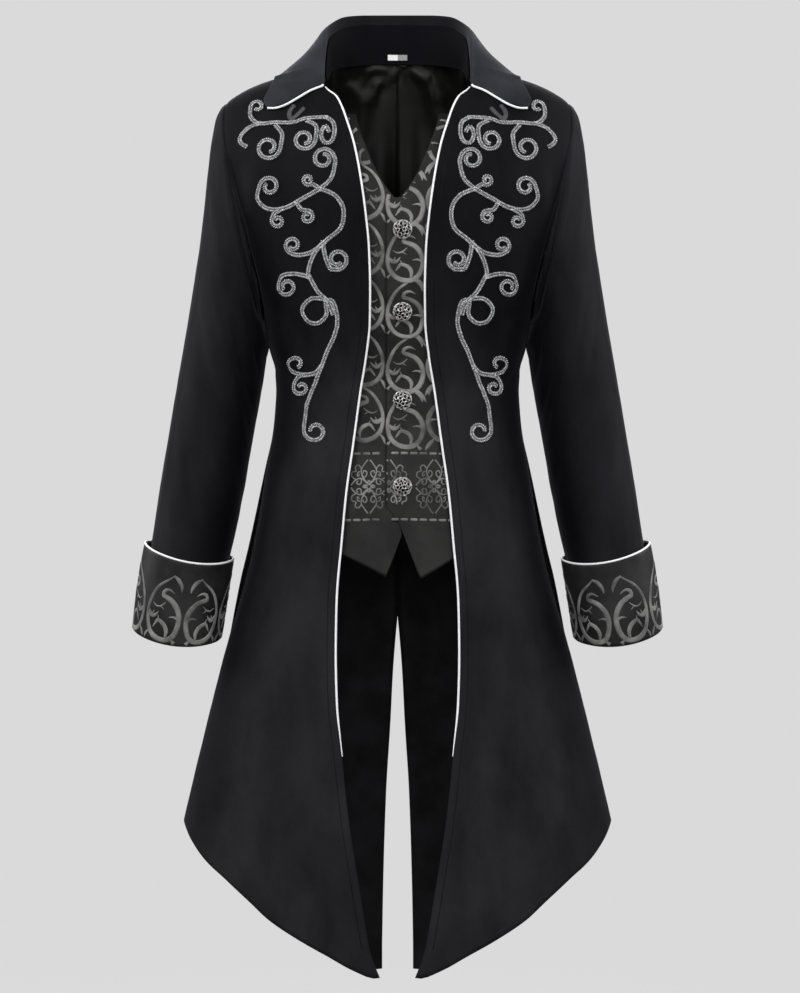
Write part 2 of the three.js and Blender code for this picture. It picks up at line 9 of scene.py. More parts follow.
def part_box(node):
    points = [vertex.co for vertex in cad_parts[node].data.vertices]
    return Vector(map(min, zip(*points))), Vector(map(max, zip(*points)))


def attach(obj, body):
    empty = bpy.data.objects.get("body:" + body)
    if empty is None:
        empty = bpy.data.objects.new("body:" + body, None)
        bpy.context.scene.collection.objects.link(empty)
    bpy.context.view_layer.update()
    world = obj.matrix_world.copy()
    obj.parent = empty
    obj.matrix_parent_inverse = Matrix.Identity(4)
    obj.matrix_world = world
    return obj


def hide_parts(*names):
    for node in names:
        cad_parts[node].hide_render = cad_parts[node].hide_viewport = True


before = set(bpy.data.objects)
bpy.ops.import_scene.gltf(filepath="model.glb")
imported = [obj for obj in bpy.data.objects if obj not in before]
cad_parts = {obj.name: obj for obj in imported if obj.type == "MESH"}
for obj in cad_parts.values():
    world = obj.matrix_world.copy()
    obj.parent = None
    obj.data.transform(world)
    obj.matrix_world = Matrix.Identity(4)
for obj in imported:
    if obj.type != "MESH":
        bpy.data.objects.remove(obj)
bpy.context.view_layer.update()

mm = 0.001
scene = bpy.context.scene


def table(names, *rows):
    return [dict(zip(names.split(), row)) for row in rows]


# cut of the coat, in the same sections as the solids
coat = {
    "wall": 2.0,
    "facingWall": 1.6,
    "liningWall": 1.0,
    "squareness": 2.3,
    "chest": -150,
    "armholeBottom": -285,
    "skirtTop": -700,
    "hemTip": -1064,
    "backDrop": 22,
    "neckPoint": (82, 8, 25),
    "backNeck": (72, 40),
    "shoulderTip": (208, 3, -18),
}

bodyTable = table(
    "z front back",
    (60, 84, 84), (0, 96, 94), (-60, 107, 104), (-150, 116, 110), (-230, 116, 104),
    (-285, 111, 96), (-313, 107, 92), (-340, 104, 89), (-361, 102, 87), (-407, 103, 89),
    (-450, 107, 95), (-570, 117, 114), (-688, 127, 132), (-811, 136, 148), (-885, 141, 156),
    (-1090, 152, 172),
)
widthTable = table(
    "z width",
    (-285, 160), (-313, 153.5), (-340, 148), (-361, 146), (-407, 149.5), (-450, 158),
    (-570, 181), (-688, 209), (-811, 239), (-885, 258), (-1090, 305),
)
armholeTable = table(
    "z x share",
    (-18, 208, 0.6), (-34, 211, 0.58), (-50, 210, 0.56), (-94, 202, 0.53), (-139, 191, 0.52),
    (-178, 181, 0.5), (-216, 171.5, 0.44), (-245, 165.5, 0.34), (-270, 161.5, 0.2), (-285, 160, 0.001),
)
shoulderTable = table("x z", (82, 25), (110, 21.5), (139, 14.5), (172, 3.5), (198, -10), (208, -18))
frontEdgeTable = table(
    "z x",
    (25, 82), (12, 86), (0, 89), (-13, 75), (-28, 67.5), (-41, 63), (-74, 53), (-119, 44.5),
    (-160, 39), (-197, 35.5), (-246, 34), (-286, 34.5), (-328, 39), (-368, 45.5), (-430, 54),
    (-486, 62), (-547, 68), (-618, 74), (-680, 75), (-738, 73.5), (-798, 66.5), (-881, 57),
    (-936, 48.5), (-997, 38.5), (-1032, 32), (-1064, 20),
)
hemTable = table(
    "x z",
    (14, -1060), (26, -1063), (52, -1054), (83, -1037), (118, -1018), (151, -997), (176, -974),
    (204, -950), (230, -928), (247, -905), (258, -885),
)
ventTable = table(
    "z x",
    (-640, 0), (-663, 2.2), (-708, 5.7), (-777, 9.3), (-863, 14.5), (-984, 18.2), (-1053, 19.4),
)
sleeveTable = table(
    "outerX outerZ innerX innerZ depth dip",
    (219, -36, 163.4, -291, 63, 0), (224.5, -66, 162.6, -301, 66, 0), (229, -104, 159.6, -318, 66, 0),
    (233, -142, 161.5, -338, 65, 0), (239, -190, 166, -368, 64, 2),
    (247, -244, 172.5, -404, 63, 4), (259, -316, 180.5, -448, 61, 6),
    (273, -398, 188, -493, 59, 8), (286, -476, 197, -537, 57, 11),
    (297.5, -550, 207, -580, 54, 14), (306, -604, 211.5, -620, 54, 15),
    (312, -650, 217.5, -655, 53, 15),
)
cuffTable = table(
    "outerX outerZ innerX innerZ depth dip",
    (306, -551, 199.5, -571, 60, 13), (311, -584, 205, -601, 59, 13),
    (316, -618, 210, -632, 58, 14), (320.5, -652, 214.5, -664, 57, 14),
)
foldTable = table(
    "s x y z",
    (0, 0, 78, 97), (0.2, 40, 74, 96.5), (0.32, 62, 64, 94), (0.42, 76, 47, 86), (0.52, 86, 24, 74),
    (0.66, 88, -3, 54), (0.8, 89, -24, 31), (0.92, 89, -39, 11.5), (1, 89, -45.5, 3.5),
)
fallEdgeTable = table(
    "s x y z",
    (0, 0, 92, 32), (0.2, 50, 88, 28), (0.35, 92, 68, 22), (0.5, 124, 38, 19.5), (0.62, 138, 11, 19.5),
    (0.75, 148, -20, 8), (0.88, 156, -37, -7), (0.95, 160, -45, -20), (1, 156.5, -51, -29),
)


def along(rows, key, name, at):
    # one column of a table, read on a smooth curve that doesn't overshoot
    rising = 1 if rows[1][key] > rows[0][key] else -1
    last = len(rows) - 1
    i = next((n for n, row in enumerate(rows) if (row[key] - at) * rising >= 0), None)
    if i is None:
        return rows[last][name]
    if i == 0:
        return rows[0][name]
    i -= 1

    def slope(j):
        if j <= 0 or j >= last:
            return None
        before = (rows[j][name] - rows[j - 1][name]) / (rows[j][key] - rows[j - 1][key])
        after = (rows[j + 1][name] - rows[j][name]) / (rows[j + 1][key] - rows[j][key])
        return 0 if before * after <= 0 else 2 * before * after / (before + after)

    step = rows[i + 1][key] - rows[i][key]
    chord = (rows[i + 1][name] - rows[i][name]) / step
    start, end = slope(i), slope(i + 1)
    start = chord if start is None else start
    end = chord if end is None else end
    t = (at - rows[i][key]) / step
    return (rows[i][name] * (1 + 2 * t) * (1 - t) ** 2 + start * step * t * (1 - t) ** 2
            + rows[i + 1][name] * t * t * (3 - 2 * t) - end * step * t * t * (1 - t))


def lerp(a, b, t):
    return a + (b - a) * t


def clamp(value, low=0.0, high=1.0):
    return max(low, min(high, value))


def smooth(value, low, high):
    t = clamp((value - low) / (high - low))
    return t * t * (3 - 2 * t)


def roundOff(share):
    return (1 - min(share, 1) ** coat["squareness"]) ** (1 / coat["squareness"])


def bodyWidth(z):
    if z <= coat["armholeBottom"]:
        return along(widthTable, "z", "width", z)
    return along(armholeTable, "z", "x", z) / roundOff(along(armholeTable, "z", "share", z))


def topLine(x, face):
    neckX, neckY, neckZ = coat["neckPoint"]
    if x >= neckX:
        t = (x - neckX) / (coat["shoulderTip"][0] - neckX)
        return lerp(neckY, coat["shoulderTip"][1], t), along(shoulderTable, "x", "z", x)
    if face == "front":
        return neckY, neckZ
    t = math.sqrt(1 - (x / neckX) ** 2)
    return lerp(neckY, coat["backNeck"][0], t), lerp(neckZ, coat["backNeck"][1], t)


def surfaceY(x, z, face):
    away = abs(x)
    topY, topZ = topLine(away, face)
    drop = clamp((topZ - z) / (topZ - coat["chest"]))
    roll = math.sqrt(1 - (1 - drop) ** 2)
    full = along(bodyTable, "z", face, z) * roundOff(away / bodyWidth(z))
    return lerp(topY, -full if face == "front" else full, roll)


def armX(z):
    return along(armholeTable, "z", "x", z) if z > coat["armholeBottom"] else bodyWidth(z)


def frontEdgeX(z):
    return along(frontEdgeTable, "z", "x", z)


def ventX(z):
    return along(ventTable, "z", "x", z) if z < ventTable[0]["z"] else 0


def turnOf(x, z):
    return math.asin(min(x / bodyWidth(z), 1) ** (coat["squareness"] / 2))


def placeAt(share, z, edgeX):
    angle = lerp(turnOf(edgeX(z), z), turnOf(armX(z), z), share)
    return bodyWidth(z) * math.sin(angle) ** (2 / coat["squareness"])


def hemHeight(share, edgeX, extra):
    z = coat["hemTip"]
    for settle in range(30):
        z = lerp(z, along(hemTable, "x", "z", placeAt(share, z, edgeX)) - extra * (1 - share) ** 1.5, 0.5)
    return z


# creases: each is a soft trough, with depth below 0, or a ridge between two places
frontCreases = table(
    "x z toX toZ width depth",
    (150, -262, 96, -330, 11, -3.2), (152, -300, 104, -352, 10, 2.4), (146, -338, 84, -366, 8, -2.4),
    (140, -352, 92, -392, 8, 1.8), (188, -160, 150, -232, 12, -3.0), (178, -120, 165, -205, 12, 2.2),
    (196, -96, 186, -150, 9, -1.8), (74, -300, 60, -372, 11, -1.6), (112, -420, 128, -700, 26, 3.4),
    (92, -500, 104, -860, 24, -3.0), (168, -470, 214, -890, 30, -4.2), (140, -560, 168, -960, 26, 3.6),
    (190, -640, 236, -890, 20, 3.6), (120, -740, 138, -1000, 26, -3.4), (70, -820, 84, -1020, 18, 2.8),
    (120, -30, 150, -62, 14, -1.6),
)
backCreases = table(
    "x z toX toZ width depth",
    (152, -250, 70, -318, 11, -3.4), (150, -292, 60, -345, 10, 2.6), (146, -330, 40, -372, 9, -2.6),
    (140, -356, 62, -398, 8, 2.0), (188, -150, 140, -240, 12, -3.2), (170, -96, 160, -190, 14, 2.2),
    (40, -430, 54, -900, 26, -4.0), (84, -440, 112, -980, 30, 4.6), (126, -450, 168, -940, 30, -4.6),
    (162, -520, 214, -900, 26, 4.0), (206, -640, 238, -880, 18, -3.2), (34, -90, 60, -230, 18, -1.4),
)


def creaseHeight(rows, x, z):
    height = 0
    for row in rows:
        runX, runZ = row["toX"] - row["x"], row["toZ"] - row["z"]
        length = runX * runX + runZ * runZ
        t = ((x - row["x"]) * runX + (z - row["z"]) * runZ) / length
        if -0.3 < t < 1.3:
            bow = 5 * math.sin(t * math.pi) * (1 if row["depth"] > 0 else -1)
            away = ((x - row["x"]) * runZ - (z - row["z"]) * runX) / math.sqrt(length) + bow
            fade = smooth(t, -0.3, 0.25) * (1 - smooth(t, 0.75, 1.3))
            height += row["depth"] * fade * math.exp(-(away / row["width"]) ** 2)
    return height


def ripple(x, z, seed):
    # slight unevenness that no pressed cloth is without
    broad = noise.noise(Vector((x / 46, z / 80, seed)))
    close = noise.noise(Vector((x / 17, z / 23, seed)))
    return 0.55 * broad + 0.25 * close


def coatPoint(x, z, face, lift=0.0):
    # a point on the creased cloth, moved out along its normal
    rows = frontCreases if face == "front" else backCreases
    seed = 3.0 if face == "front" else 9.0
    step = 0.6
    base = surfaceY(x, z, face)
    slopeX = (surfaceY(x + step, z, face) - surfaceY(x - step, z, face)) / (2 * step)
    slopeZ = (base - surfaceY(x, z - step, face)) / step
    normal = Vector((slopeX, -1, slopeZ)) if face == "front" else Vector((-slopeX, 1, -slopeZ))
    normal.normalize()
    height = creaseHeight(rows, x, z) + ripple(x, z, seed)
    return Vector((x, base, z)) + normal * (height + lift)


def flip(vector, mirror):
    return Vector((-vector.x, vector.y, vector.z)) if mirror else vector


def rowNormals(rows, tube):
    count = len(rows[0])
    result = []
    for i, row in enumerate(rows):
        above, below = rows[max(i - 1, 0)], rows[min(i + 1, len(rows) - 1)]
        line = []
        for j in range(count):
            left = row[(j - 1) % count] if tube else row[max(j - 1, 0)]
            right = row[(j + 1) % count] if tube else row[min(j + 1, count - 1)]
            line.append((right - left).cross(below[j] - above[j]).normalized())
        result.append(line)
    return result


def wallMesh(name, rows, thickness, material, lift=0.0, outward=1, tube=False, inner=None):
    # a closed wall of cloth on a grid: rows run down and columns round, with a UV map in metres
    normals = rowNormals(rows, tube)
    count = len(rows[0])
    depth = len(rows)
    verts = []
    for side in (1, -1):
        for row, normalRow in zip(rows, normals):
            for point, normal in zip(row, normalRow):
                verts.append((point + normal * (-outward * (lift + side * thickness / 2))) * mm)
    across = [0.0]
    middle = rows[depth // 2]
    for j in range(count):
        across.append(across[-1] + (middle[(j + 1) % count] - middle[j]).length * mm)
    down = [0.0]
    for i in range(1, depth):
        down.append(down[-1] + (rows[i][count // 2] - rows[i - 1][count // 2]).length * mm)
    at = lambda side, i, j: (side * depth + i) * count + j % count
    faces, coords, slots = [], [], []
    last = count if tube else count - 1

    def quad(corners, places, slot):
        if outward < 0:
            corners, places = corners[::-1], places[::-1]
        faces.append(corners)
        coords.extend((across[j], -down[i]) for i, j in places)
        slots.append(slot)

    for i in range(depth - 1):
        for j in range(last):
            box = [(i, j), (i + 1, j), (i + 1, j + 1), (i, j + 1)]
            quad([at(0, *c) for c in box], box, 0)
            quad([at(1, *c) for c in box[::-1]], box[::-1], 1)
    for j in range(last):
        quad([at(0, 0, j), at(0, 0, j + 1), at(1, 0, j + 1), at(1, 0, j)],
             [(0, j), (0, j + 1), (0, j + 1), (0, j)], 0)
        end = depth - 1
        quad([at(0, end, j), at(1, end, j), at(1, end, j + 1), at(0, end, j + 1)],
             [(end, j), (end, j), (end, j + 1), (end, j + 1)], 0)
    if not tube:
        for i in range(depth - 1):
            quad([at(0, i, 0), at(1, i, 0), at(1, i + 1, 0), at(0, i + 1, 0)],
                 [(i, 0), (i, 0), (i + 1, 0), (i + 1, 0)], 0)
            quad([at(0, i, last), at(0, i + 1, last), at(1, i + 1, last), at(1, i, last)],
                 [(i, last), (i + 1, last), (i + 1, last), (i, last)], 0)
    mesh = bpy.data.meshes.new(name)
    mesh.from_pydata([tuple(v) for v in verts], [], faces)
    uv = mesh.uv_layers.new(name="cloth")
    uv.data.foreach_set("uv", [value for pair in coords for value in pair])
    mesh.materials.append(material)
    mesh.materials.append(inner or material)
    mesh.polygons.foreach_set("material_index", slots)
    mesh.polygons.foreach_set("use_smooth", [True] * len(faces))
    return placed(name, mesh)


def placed(name, mesh):
    piece = bpy.data.objects.new(name, mesh)
    scene.collection.objects.link(piece)
    return piece


def sweep(paths, name, material, sides=8, closed=False):
    # rods along paths of (point, face normal, half width, half height)
    verts, faces = [], []
    for path in paths:
        start = len(verts)
        count = len(path)
        for i, (point, face, half, high) in enumerate(path):
            after = path[(i + 1) % count if closed else min(i + 1, count - 1)][0]
            before = path[(i - 1) % count if closed else max(i - 1, 0)][0]
            tangent = (after - before).normalized()
            aside = face.cross(tangent).normalized()
            for k in range(sides):
                turn = 2 * math.pi * k / sides
                verts.append((point + aside * (half * math.cos(turn)) + face * (high * math.sin(turn))) * mm)
        for i in range(count if closed else count - 1):
            here, there = start + i * sides, start + ((i + 1) % count) * sides
            for k in range(sides):
                n = (k + 1) % sides
                faces.append((here + k, here + n, there + n, there + k))
        if not closed:
            end = start + (count - 1) * sides
            faces.append([start + k for k in range(sides)][::-1])
            faces.append([end + k for k in range(sides)])
    mesh = bpy.data.meshes.new(name)
    mesh.from_pydata([tuple(v) for v in verts], [], faces)
    mesh.materials.append(material)
    mesh.polygons.foreach_set("use_smooth", [True] * len(faces))
    return placed(name, mesh)


def splinePoints(points, step):
    # an even walk along a smooth curve through the points
    fine = []
    for i in range(len(points) - 1):
        p0, p1, p2, p3 = (points[clampIndex(i + k, points)] for k in (-1, 0, 1, 2))
        for n in range(8):
            t = n / 8
            fine.append(0.5 * (2 * p1 + (p2 - p0) * t + (2 * p0 - 5 * p1 + 4 * p2 - p3) * t * t
                               + (3 * p1 - p0 - 3 * p2 + p3) * t ** 3))
    fine.append(points[-1])
    even = [fine[0]]
    left = step
    for a, b in zip(fine, fine[1:]):
        length = (b - a).length
        while left <= length and length > 0:
            even.append(a.lerp(b, left / length))
            left += step
        left -= length
    return even


def clampIndex(i, items):
    return max(0, min(i, len(items) - 1))


class Shader:
    # a Principled material with a few helpers for wiring its nodes
    def __init__(self, name, **sockets):
        self.material = bpy.data.materials.new(name)
        self.material.use_nodes = True
        self.tree = self.material.node_tree
        self.skin = self.tree.nodes["Principled BSDF"]
        for label, value in sockets.items():
            self.skin.inputs[label.replace("_", " ")].default_value = value

    def node(self, kind, inputs=None, **settings):
        made = self.tree.nodes.new(kind)
        for label, value in settings.items():
            setattr(made, label, value)
        for label, value in (inputs or {}).items():
            if isinstance(value, bpy.types.NodeSocket):
                self.tree.links.new(value, made.inputs[label])
            else:
                made.inputs[label].default_value = value
        return made

    def link(self, socket, label):
        self.tree.links.new(socket, self.skin.inputs[label])

    def coords(self, source="Object"):
        if source == "Object":
            return self.node("ShaderNodeTexCoord").outputs["Object"]
        return self.node("ShaderNodeUVMap", uv_map="cloth").outputs["UV"]

    def ramp(self, factor, *stops):
        made = self.node("ShaderNodeValToRGB", {"Fac": factor})
        line = made.color_ramp
        while len(line.elements) < len(stops):
            line.elements.new(1.0)
        for element, (place, colour) in zip(line.elements, stops):
            element.position = place
            element.color = (*colour, 1)
        return made.outputs["Color"]

    def mix(self, factor, first, second, blend="MIX"):
        made = self.node("ShaderNodeMix", data_type="RGBA", blend_type=blend)
        for socket, value in zip((made.inputs[0], made.inputs[6], made.inputs[7]), (factor, first, second)):
            if isinstance(value, bpy.types.NodeSocket):
                self.tree.links.new(value, socket)
            else:
                socket.default_value = value if isinstance(value, (int, float)) else (*value, 1)
        return made.outputs[2]

    def math(self, operation, first, second=0.0):
        made = self.node("ShaderNodeMath", operation=operation)
        for socket, value in zip(made.inputs, (first, second)):
            if isinstance(value, bpy.types.NodeSocket):
                self.tree.links.new(value, socket)
            else:
                socket.default_value = value
        return made.outputs[0]

    def bump(self, *heights):
        # heights: (socket, strength, distance in metres)
        normal = None
        for height, strength, distance in heights:
            inputs = {"Height": height, "Strength": strength, "Distance": distance}
            if normal is not None:
                inputs["Normal"] = normal
            normal = self.node("ShaderNodeBump", inputs).outputs["Normal"]
        self.link(normal, "Normal")


def scaled(shader, vector, scale):
    return shader.node("ShaderNodeMapping", {"Vector": vector, "Scale": scale}).outputs["Vector"]


def noiseOf(shader, vector, scale, detail=3.0, rough=0.55):
    made = shader.node("ShaderNodeTexNoise", {"Vector": vector, "Scale": scale, "Detail": detail,
                                              "Roughness": rough})
    return made.outputs["Fac"]


# deep is the colour of the chest and skirt that of the skirts; the darker chest is painted shade
velvetLook = {
    "deep": (0.0030, 0.0031, 0.0042),
    "skirt": (0.0135, 0.0135, 0.0150),
    "roughness": 0.72,
    "gloss": 0.06,
}


def velvetMaterial(name, deep, pale, sheen, slant=(0, 0, 1), span=(-0.40, -0.17), sideShade=None):
    # napped cloth, with painted shade: pale at the start of its span and deep at the end, with brushed
    # patches of painted sheen;
    #     the last argument paints shade in a second direction in which it darkens, measured on either side of
    #     the middle
    look = Shader(name, Roughness=velvetLook["roughness"], Specular_IOR_Level=velvetLook["gloss"],
                  Sheen_Weight=sheen, Sheen_Roughness=0.38, Sheen_Tint=(0.78, 0.79, 0.86, 1))
    place = look.coords()
    bothWays = look.node("ShaderNodeVectorMath", {"Vector": place}, operation="ABSOLUTE").outputs["Vector"]
    aside = look.node("ShaderNodeSeparateXYZ", {"Vector": bothWays}).outputs["X"]
    level = look.node("ShaderNodeSeparateXYZ", {"Vector": place})
    folded = look.node("ShaderNodeCombineXYZ", {"X": aside, "Y": level.outputs["Y"], "Z": level.outputs["Z"]})
    wander = noiseOf(look, scaled(look, place, (1, 1, 0.55)), 9.0)

    def share(direction, ends):
        along = look.node("ShaderNodeVectorMath", operation="DOT_PRODUCT")
        look.tree.links.new(folded.outputs["Vector"], along.inputs[0])
        along.inputs[1].default_value = direction
        uneven = look.math("MULTIPLY", look.math("SUBTRACT", wander, 0.5), abs(ends[1] - ends[0]) * 0.6)
        shifted = look.math("ADD", along.outputs["Value"], uneven)
        return look.node("ShaderNodeMapRange", {"Value": shifted, "From Min": ends[0], "From Max": ends[1]},
                         interpolation_type="SMOOTHSTEP").outputs["Result"]

    # painted shade: the colour runs between the two along the span, darker where the cloth turns from the
    # light
    ground = look.mix(share(slant, span), pale, deep)
    if sideShade:
        # painted shade, darker towards the sides
        ground = look.mix(share(sideShade["slant"], sideShade["span"]), ground, sideShade["colour"])
    # painted sheen: brushed patches lighten and darken the colour at random; the same noise gives a slight
    # relief
    patches = noiseOf(look, scaled(look, place, (1, 1, 0.45)), 22.0, 4.0)
    brushedSheen = look.ramp(patches, (0.32, (0.62, 0.62, 0.64)), (0.68, (1.3, 1.3, 1.34)))
    look.link(look.mix(1.0, ground, brushedSheen, "MULTIPLY"), "Base Color")
    nap = noiseOf(look, place, 1500.0, 2.0)
    weave = look.node("ShaderNodeTexVoronoi", {"Vector": look.coords("cloth"), "Scale": 900.0})
    look.bump((nap, 0.35, 0.0006), (weave.outputs["Distance"], 0.25, 0.0004), (patches, 0.2, 0.003))
    return look.material


def satinMaterial(name, colour, sheen, rough, gloss):
    look = Shader(name, Roughness=rough, Specular_IOR_Level=gloss, Sheen_Weight=sheen,
                  Sheen_Roughness=0.3, Anisotropic=0.35)
    cloth = look.coords("cloth")
    threads = look.node("ShaderNodeTexWave", {"Vector": cloth, "Scale": 420.0, "Distortion": 1.2,
                                              "Detail": 1.0}, bands_direction="Y")
    place = look.coords()
    # painted sheen: soft patches lighter and darker than the satin's own colour
    sheenPatches = look.node("ShaderNodeMapRange", {"Value": noiseOf(look, place, 24.0, 3.0), "From Min": 0.36,
                                             "From Max": 0.64}).outputs["Result"]
    dark = tuple(c * 0.55 for c in colour)
    light = tuple(c * 1.5 for c in colour)
    look.link(look.mix(sheenPatches, dark, light), "Base Color")
    look.bump((threads.outputs["Fac"], 0.2, 0.0003), (noiseOf(look, place, 700.0), 0.15, 0.0003))
    return look.material


def cordMaterial(name, colour, shade, scale, span=(0.32, 0.62)):
    # twisted thread, with painted shade in its grooves: one noise gives their relief and darkens them
    look = Shader(name, Roughness=0.62, Specular_IOR_Level=0.35, Sheen_Weight=0.15)
    place = look.coords()
    grooveAndShade = noiseOf(look, place, scale, 3.0)
    look.link(look.ramp(grooveAndShade, (span[0], shade), (span[1], colour)), "Base Color")
    look.bump((grooveAndShade, 0.5, 0.0005))
    return look.material


def silverMaterial():
    look = Shader("antiqueSilver", Metallic=1.0, Roughness=0.34)
    place = look.coords()
    wear = noiseOf(look, place, 420.0, 4.0)
    look.link(look.ramp(wear, (0.38, (0.16, 0.155, 0.15)), (0.60, (0.95, 0.94, 0.92))), "Base Color")
    rough = look.node("ShaderNodeMapRange", {"Value": wear, "To Min": 0.5, "To Max": 0.25})
    look.link(rough.outputs["Result"], "Roughness")
    look.bump((wear, 0.25, 0.0004))
    return look.material


looks = {
    # painted shade: darker on the chest, and darker towards the sides where the cloth turns away
    "coat": velvetMaterial("nappedCoatCloth", velvetLook["deep"], velvetLook["skirt"], 0.05,
                           sideShade={"slant": (1, 0, 0.228), "span": (-0.01, 0.055),
                                 "colour": (0.005, 0.005, 0.006)}),
    # painted shade: the sleeve's inner side by the body is darker than its outer side
    "sleeve": velvetMaterial("nappedSleeveCloth", (0.0095, 0.0095, 0.0115), (0.0012, 0.0012, 0.0018), 0.09,
                             slant=(1, 0, 0.154), span=(0.118, 0.172)),
    # painted shade: darker towards the back of the neck, lighter on the leaves in front
    "collar": velvetMaterial("nappedCollarCloth", (0.006, 0.006, 0.0072), (0.021, 0.0215, 0.0250), 0.15,
                             slant=(0, 1, 0), span=(0.02, 0.055)),
    "stand": velvetMaterial("standCloth", (0.0016, 0.0016, 0.0030), (0.0016, 0.0016, 0.0030), 0.02),
    "lining": satinMaterial("liningSatin", (0.0050, 0.0050, 0.0042), 0.03, 0.36, 0.20),
    "tail": satinMaterial("tailInside", (0.0095, 0.0095, 0.0112), 0.05, 0.55, 0.12),
    "vest": satinMaterial("waistcoatSatin", (0.0105, 0.0102, 0.0098), 0.04, 0.42, 0.16),
    "cuff": satinMaterial("cuffSatin", (0.0135, 0.0135, 0.0140), 0.06, 0.45, 0.16),
    # the scrolls' ramp is broad: it paints patches of highlight and shade across them
    "scroll": cordMaterial("wovenScroll", (0.218, 0.215, 0.210), (0.052, 0.051, 0.050), 34.0, (0.34, 0.64)),
    "piping": cordMaterial("whitePiping", (0.92, 0.92, 0.92), (0.74, 0.74, 0.76), 700.0),
    "braid": cordMaterial("silverBraid", (0.66, 0.66, 0.67), (0.16, 0.16, 0.17), 520.0, (0.38, 0.60)),
    "braidDim": cordMaterial("silverBraidDim", (0.085, 0.085, 0.088), (0.03, 0.03, 0.032), 420.0),
    "label": cordMaterial("labelTape", (0.85, 0.85, 0.85), (0.7, 0.7, 0.7), 900.0),
    "labelGrey": cordMaterial("labelTapeGrey", (0.30, 0.30, 0.30), (0.22, 0.22, 0.22), 900.0),
    "silver": silverMaterial(),
    # near black: painted shade in the stitched groove by the front edge and in the buttons' hollows
    "recessShade": satinMaterial("paintedShadeBlack", (0.003, 0.003, 0.003), 0.0, 0.6, 0.1),
}
print("materials ready")


panelCut = {"columns": 66, "upperRows": 26, "middleRows": 72, "hemRows": 48, "seam": (1.1, 3.2),
            "shoulderFront": (0.5, 3.6), "shoulderBack": (1.2, 14.0)}


# how far out the top of the back reaches at each share of its width, from the centre seam
backTopTable = table(
    "share x",
    (0, 0), (0.13, 28), (0.26, 54), (0.37, 73), (0.47, 82), (0.6, 106), (0.73, 138), (0.87, 172), (1, 208),
)


def panelRows(face):
    # a panel's grid: down from its top to the chest, on to the skirt, and out to its shaped hem
    edgeX = frontEdgeX if face == "front" else ventX
    neckX, tipX, tipZ = coat["neckPoint"][0], coat["shoulderTip"][0], coat["shoulderTip"][2]

    def topX(share):
        return lerp(neckX, tipX, share) if face == "front" else along(backTopTable, "share", "x", share)

    chest = coat["chest"]
    even = [n / panelCut["columns"] for n in range(panelCut["columns"] + 1)]
    shares = [s - 0.02 * math.sin(2 * math.pi * s) for s in even]
    rows = []
    for n in range(panelCut["upperRows"]):
        drop = 1 - math.cos(math.radians(90 * n / panelCut["upperRows"]))
        row = []
        for share in shares:
            top = topX(share)
            z = lerp(topLine(top, face)[1], chest, drop)
            edgeZ = lerp(topLine(topX(0), face)[1], chest, drop)
            armZ = lerp(tipZ, chest, drop)
            shift = ((edgeX(edgeZ) - lerp(topX(0), edgeX(chest), drop)) * (1 - share) ** 2
                     + (armX(armZ) - lerp(tipX, armX(chest), drop)) * share ** 2)
            row.append((lerp(top, placeAt(share, chest, edgeX), drop) + shift, z))
        rows.append(row)
    for n in range(panelCut["middleRows"]):
        z = lerp(chest, coat["skirtTop"], n / panelCut["middleRows"])
        rows.append([(placeAt(share, z, edgeX), z) for share in shares])
    hems = [hemHeight(share, edgeX, coat["backDrop"] if face == "back" else 0) for share in shares]
    for n in range(panelCut["hemRows"] + 1):
        step = n / panelCut["hemRows"]
        row = []
        for share, hem in zip(shares, hems):
            z = lerp(coat["skirtTop"], hem, step)
            row.append((placeAt(share, z, edgeX), z))
        rows.append(row)
    return [[coatPoint(x, z, face) for x, z in row] for row in rows]


def dipSeams(rows, outward, first=None, last=None, top=None):
    # cloth turns in where a seam joins it to the next panel; each seam gives its dip and its reach
    normals = rowNormals(rows, False)
    result = []
    for i, row in enumerate(rows):
        line = []
        for j, point in enumerate(row):
            fold = 0
            above = top if rows[0][j].x > coat["neckPoint"][0] else None
            for seam, other in ((first, row[0]), (last, row[-1]), (above, rows[0][j])):
                if seam:
                    fold += seam[0] * math.exp(-((point - other).length / seam[1]) ** 2)
            line.append(point + normals[i][j] * (outward * fold))
        result.append(line)
    return result


def dressPiece(piece, slot, *nodes):
    # every piece rides the one body, and dresses the nodes that it is given
    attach(piece, "root")
    if nodes:
        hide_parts(*nodes)
    return piece


sides = [("left", False), ("right", True)]


def bothSides(rows, mirror):
    return [[flip(point, mirror) for point in row] for row in rows]


frontRows = dipSeams(panelRows("front"), 1, last=panelCut["seam"], top=panelCut["shoulderFront"])
backRows = dipSeams(panelRows("back"), -1, first=panelCut["seam"], last=panelCut["seam"],
                    top=panelCut["shoulderBack"])
for side, mirror in sides:
    turn = -1 if mirror else 1
    front = wallMesh(f"coatFront_{side}", bothSides(frontRows, mirror), coat["wall"], looks["coat"],
                     outward=turn, inner=looks["tail"])
    dressPiece(front, "coat_cloth", f"front_{side}")
    back = wallMesh(f"coatBack_{side}", bothSides(backRows, mirror), coat["wall"], looks["coat"],
                    outward=-turn, inner=looks["tail"])
    dressPiece(back, "coat_cloth", f"back_{side}")
print("coat panels ready")


liningCut = {"clear": 1.9, "sag": 1.2, "crossing": 1.6, "under": 0.5, "satinTo": -500, "seamTo": -600}

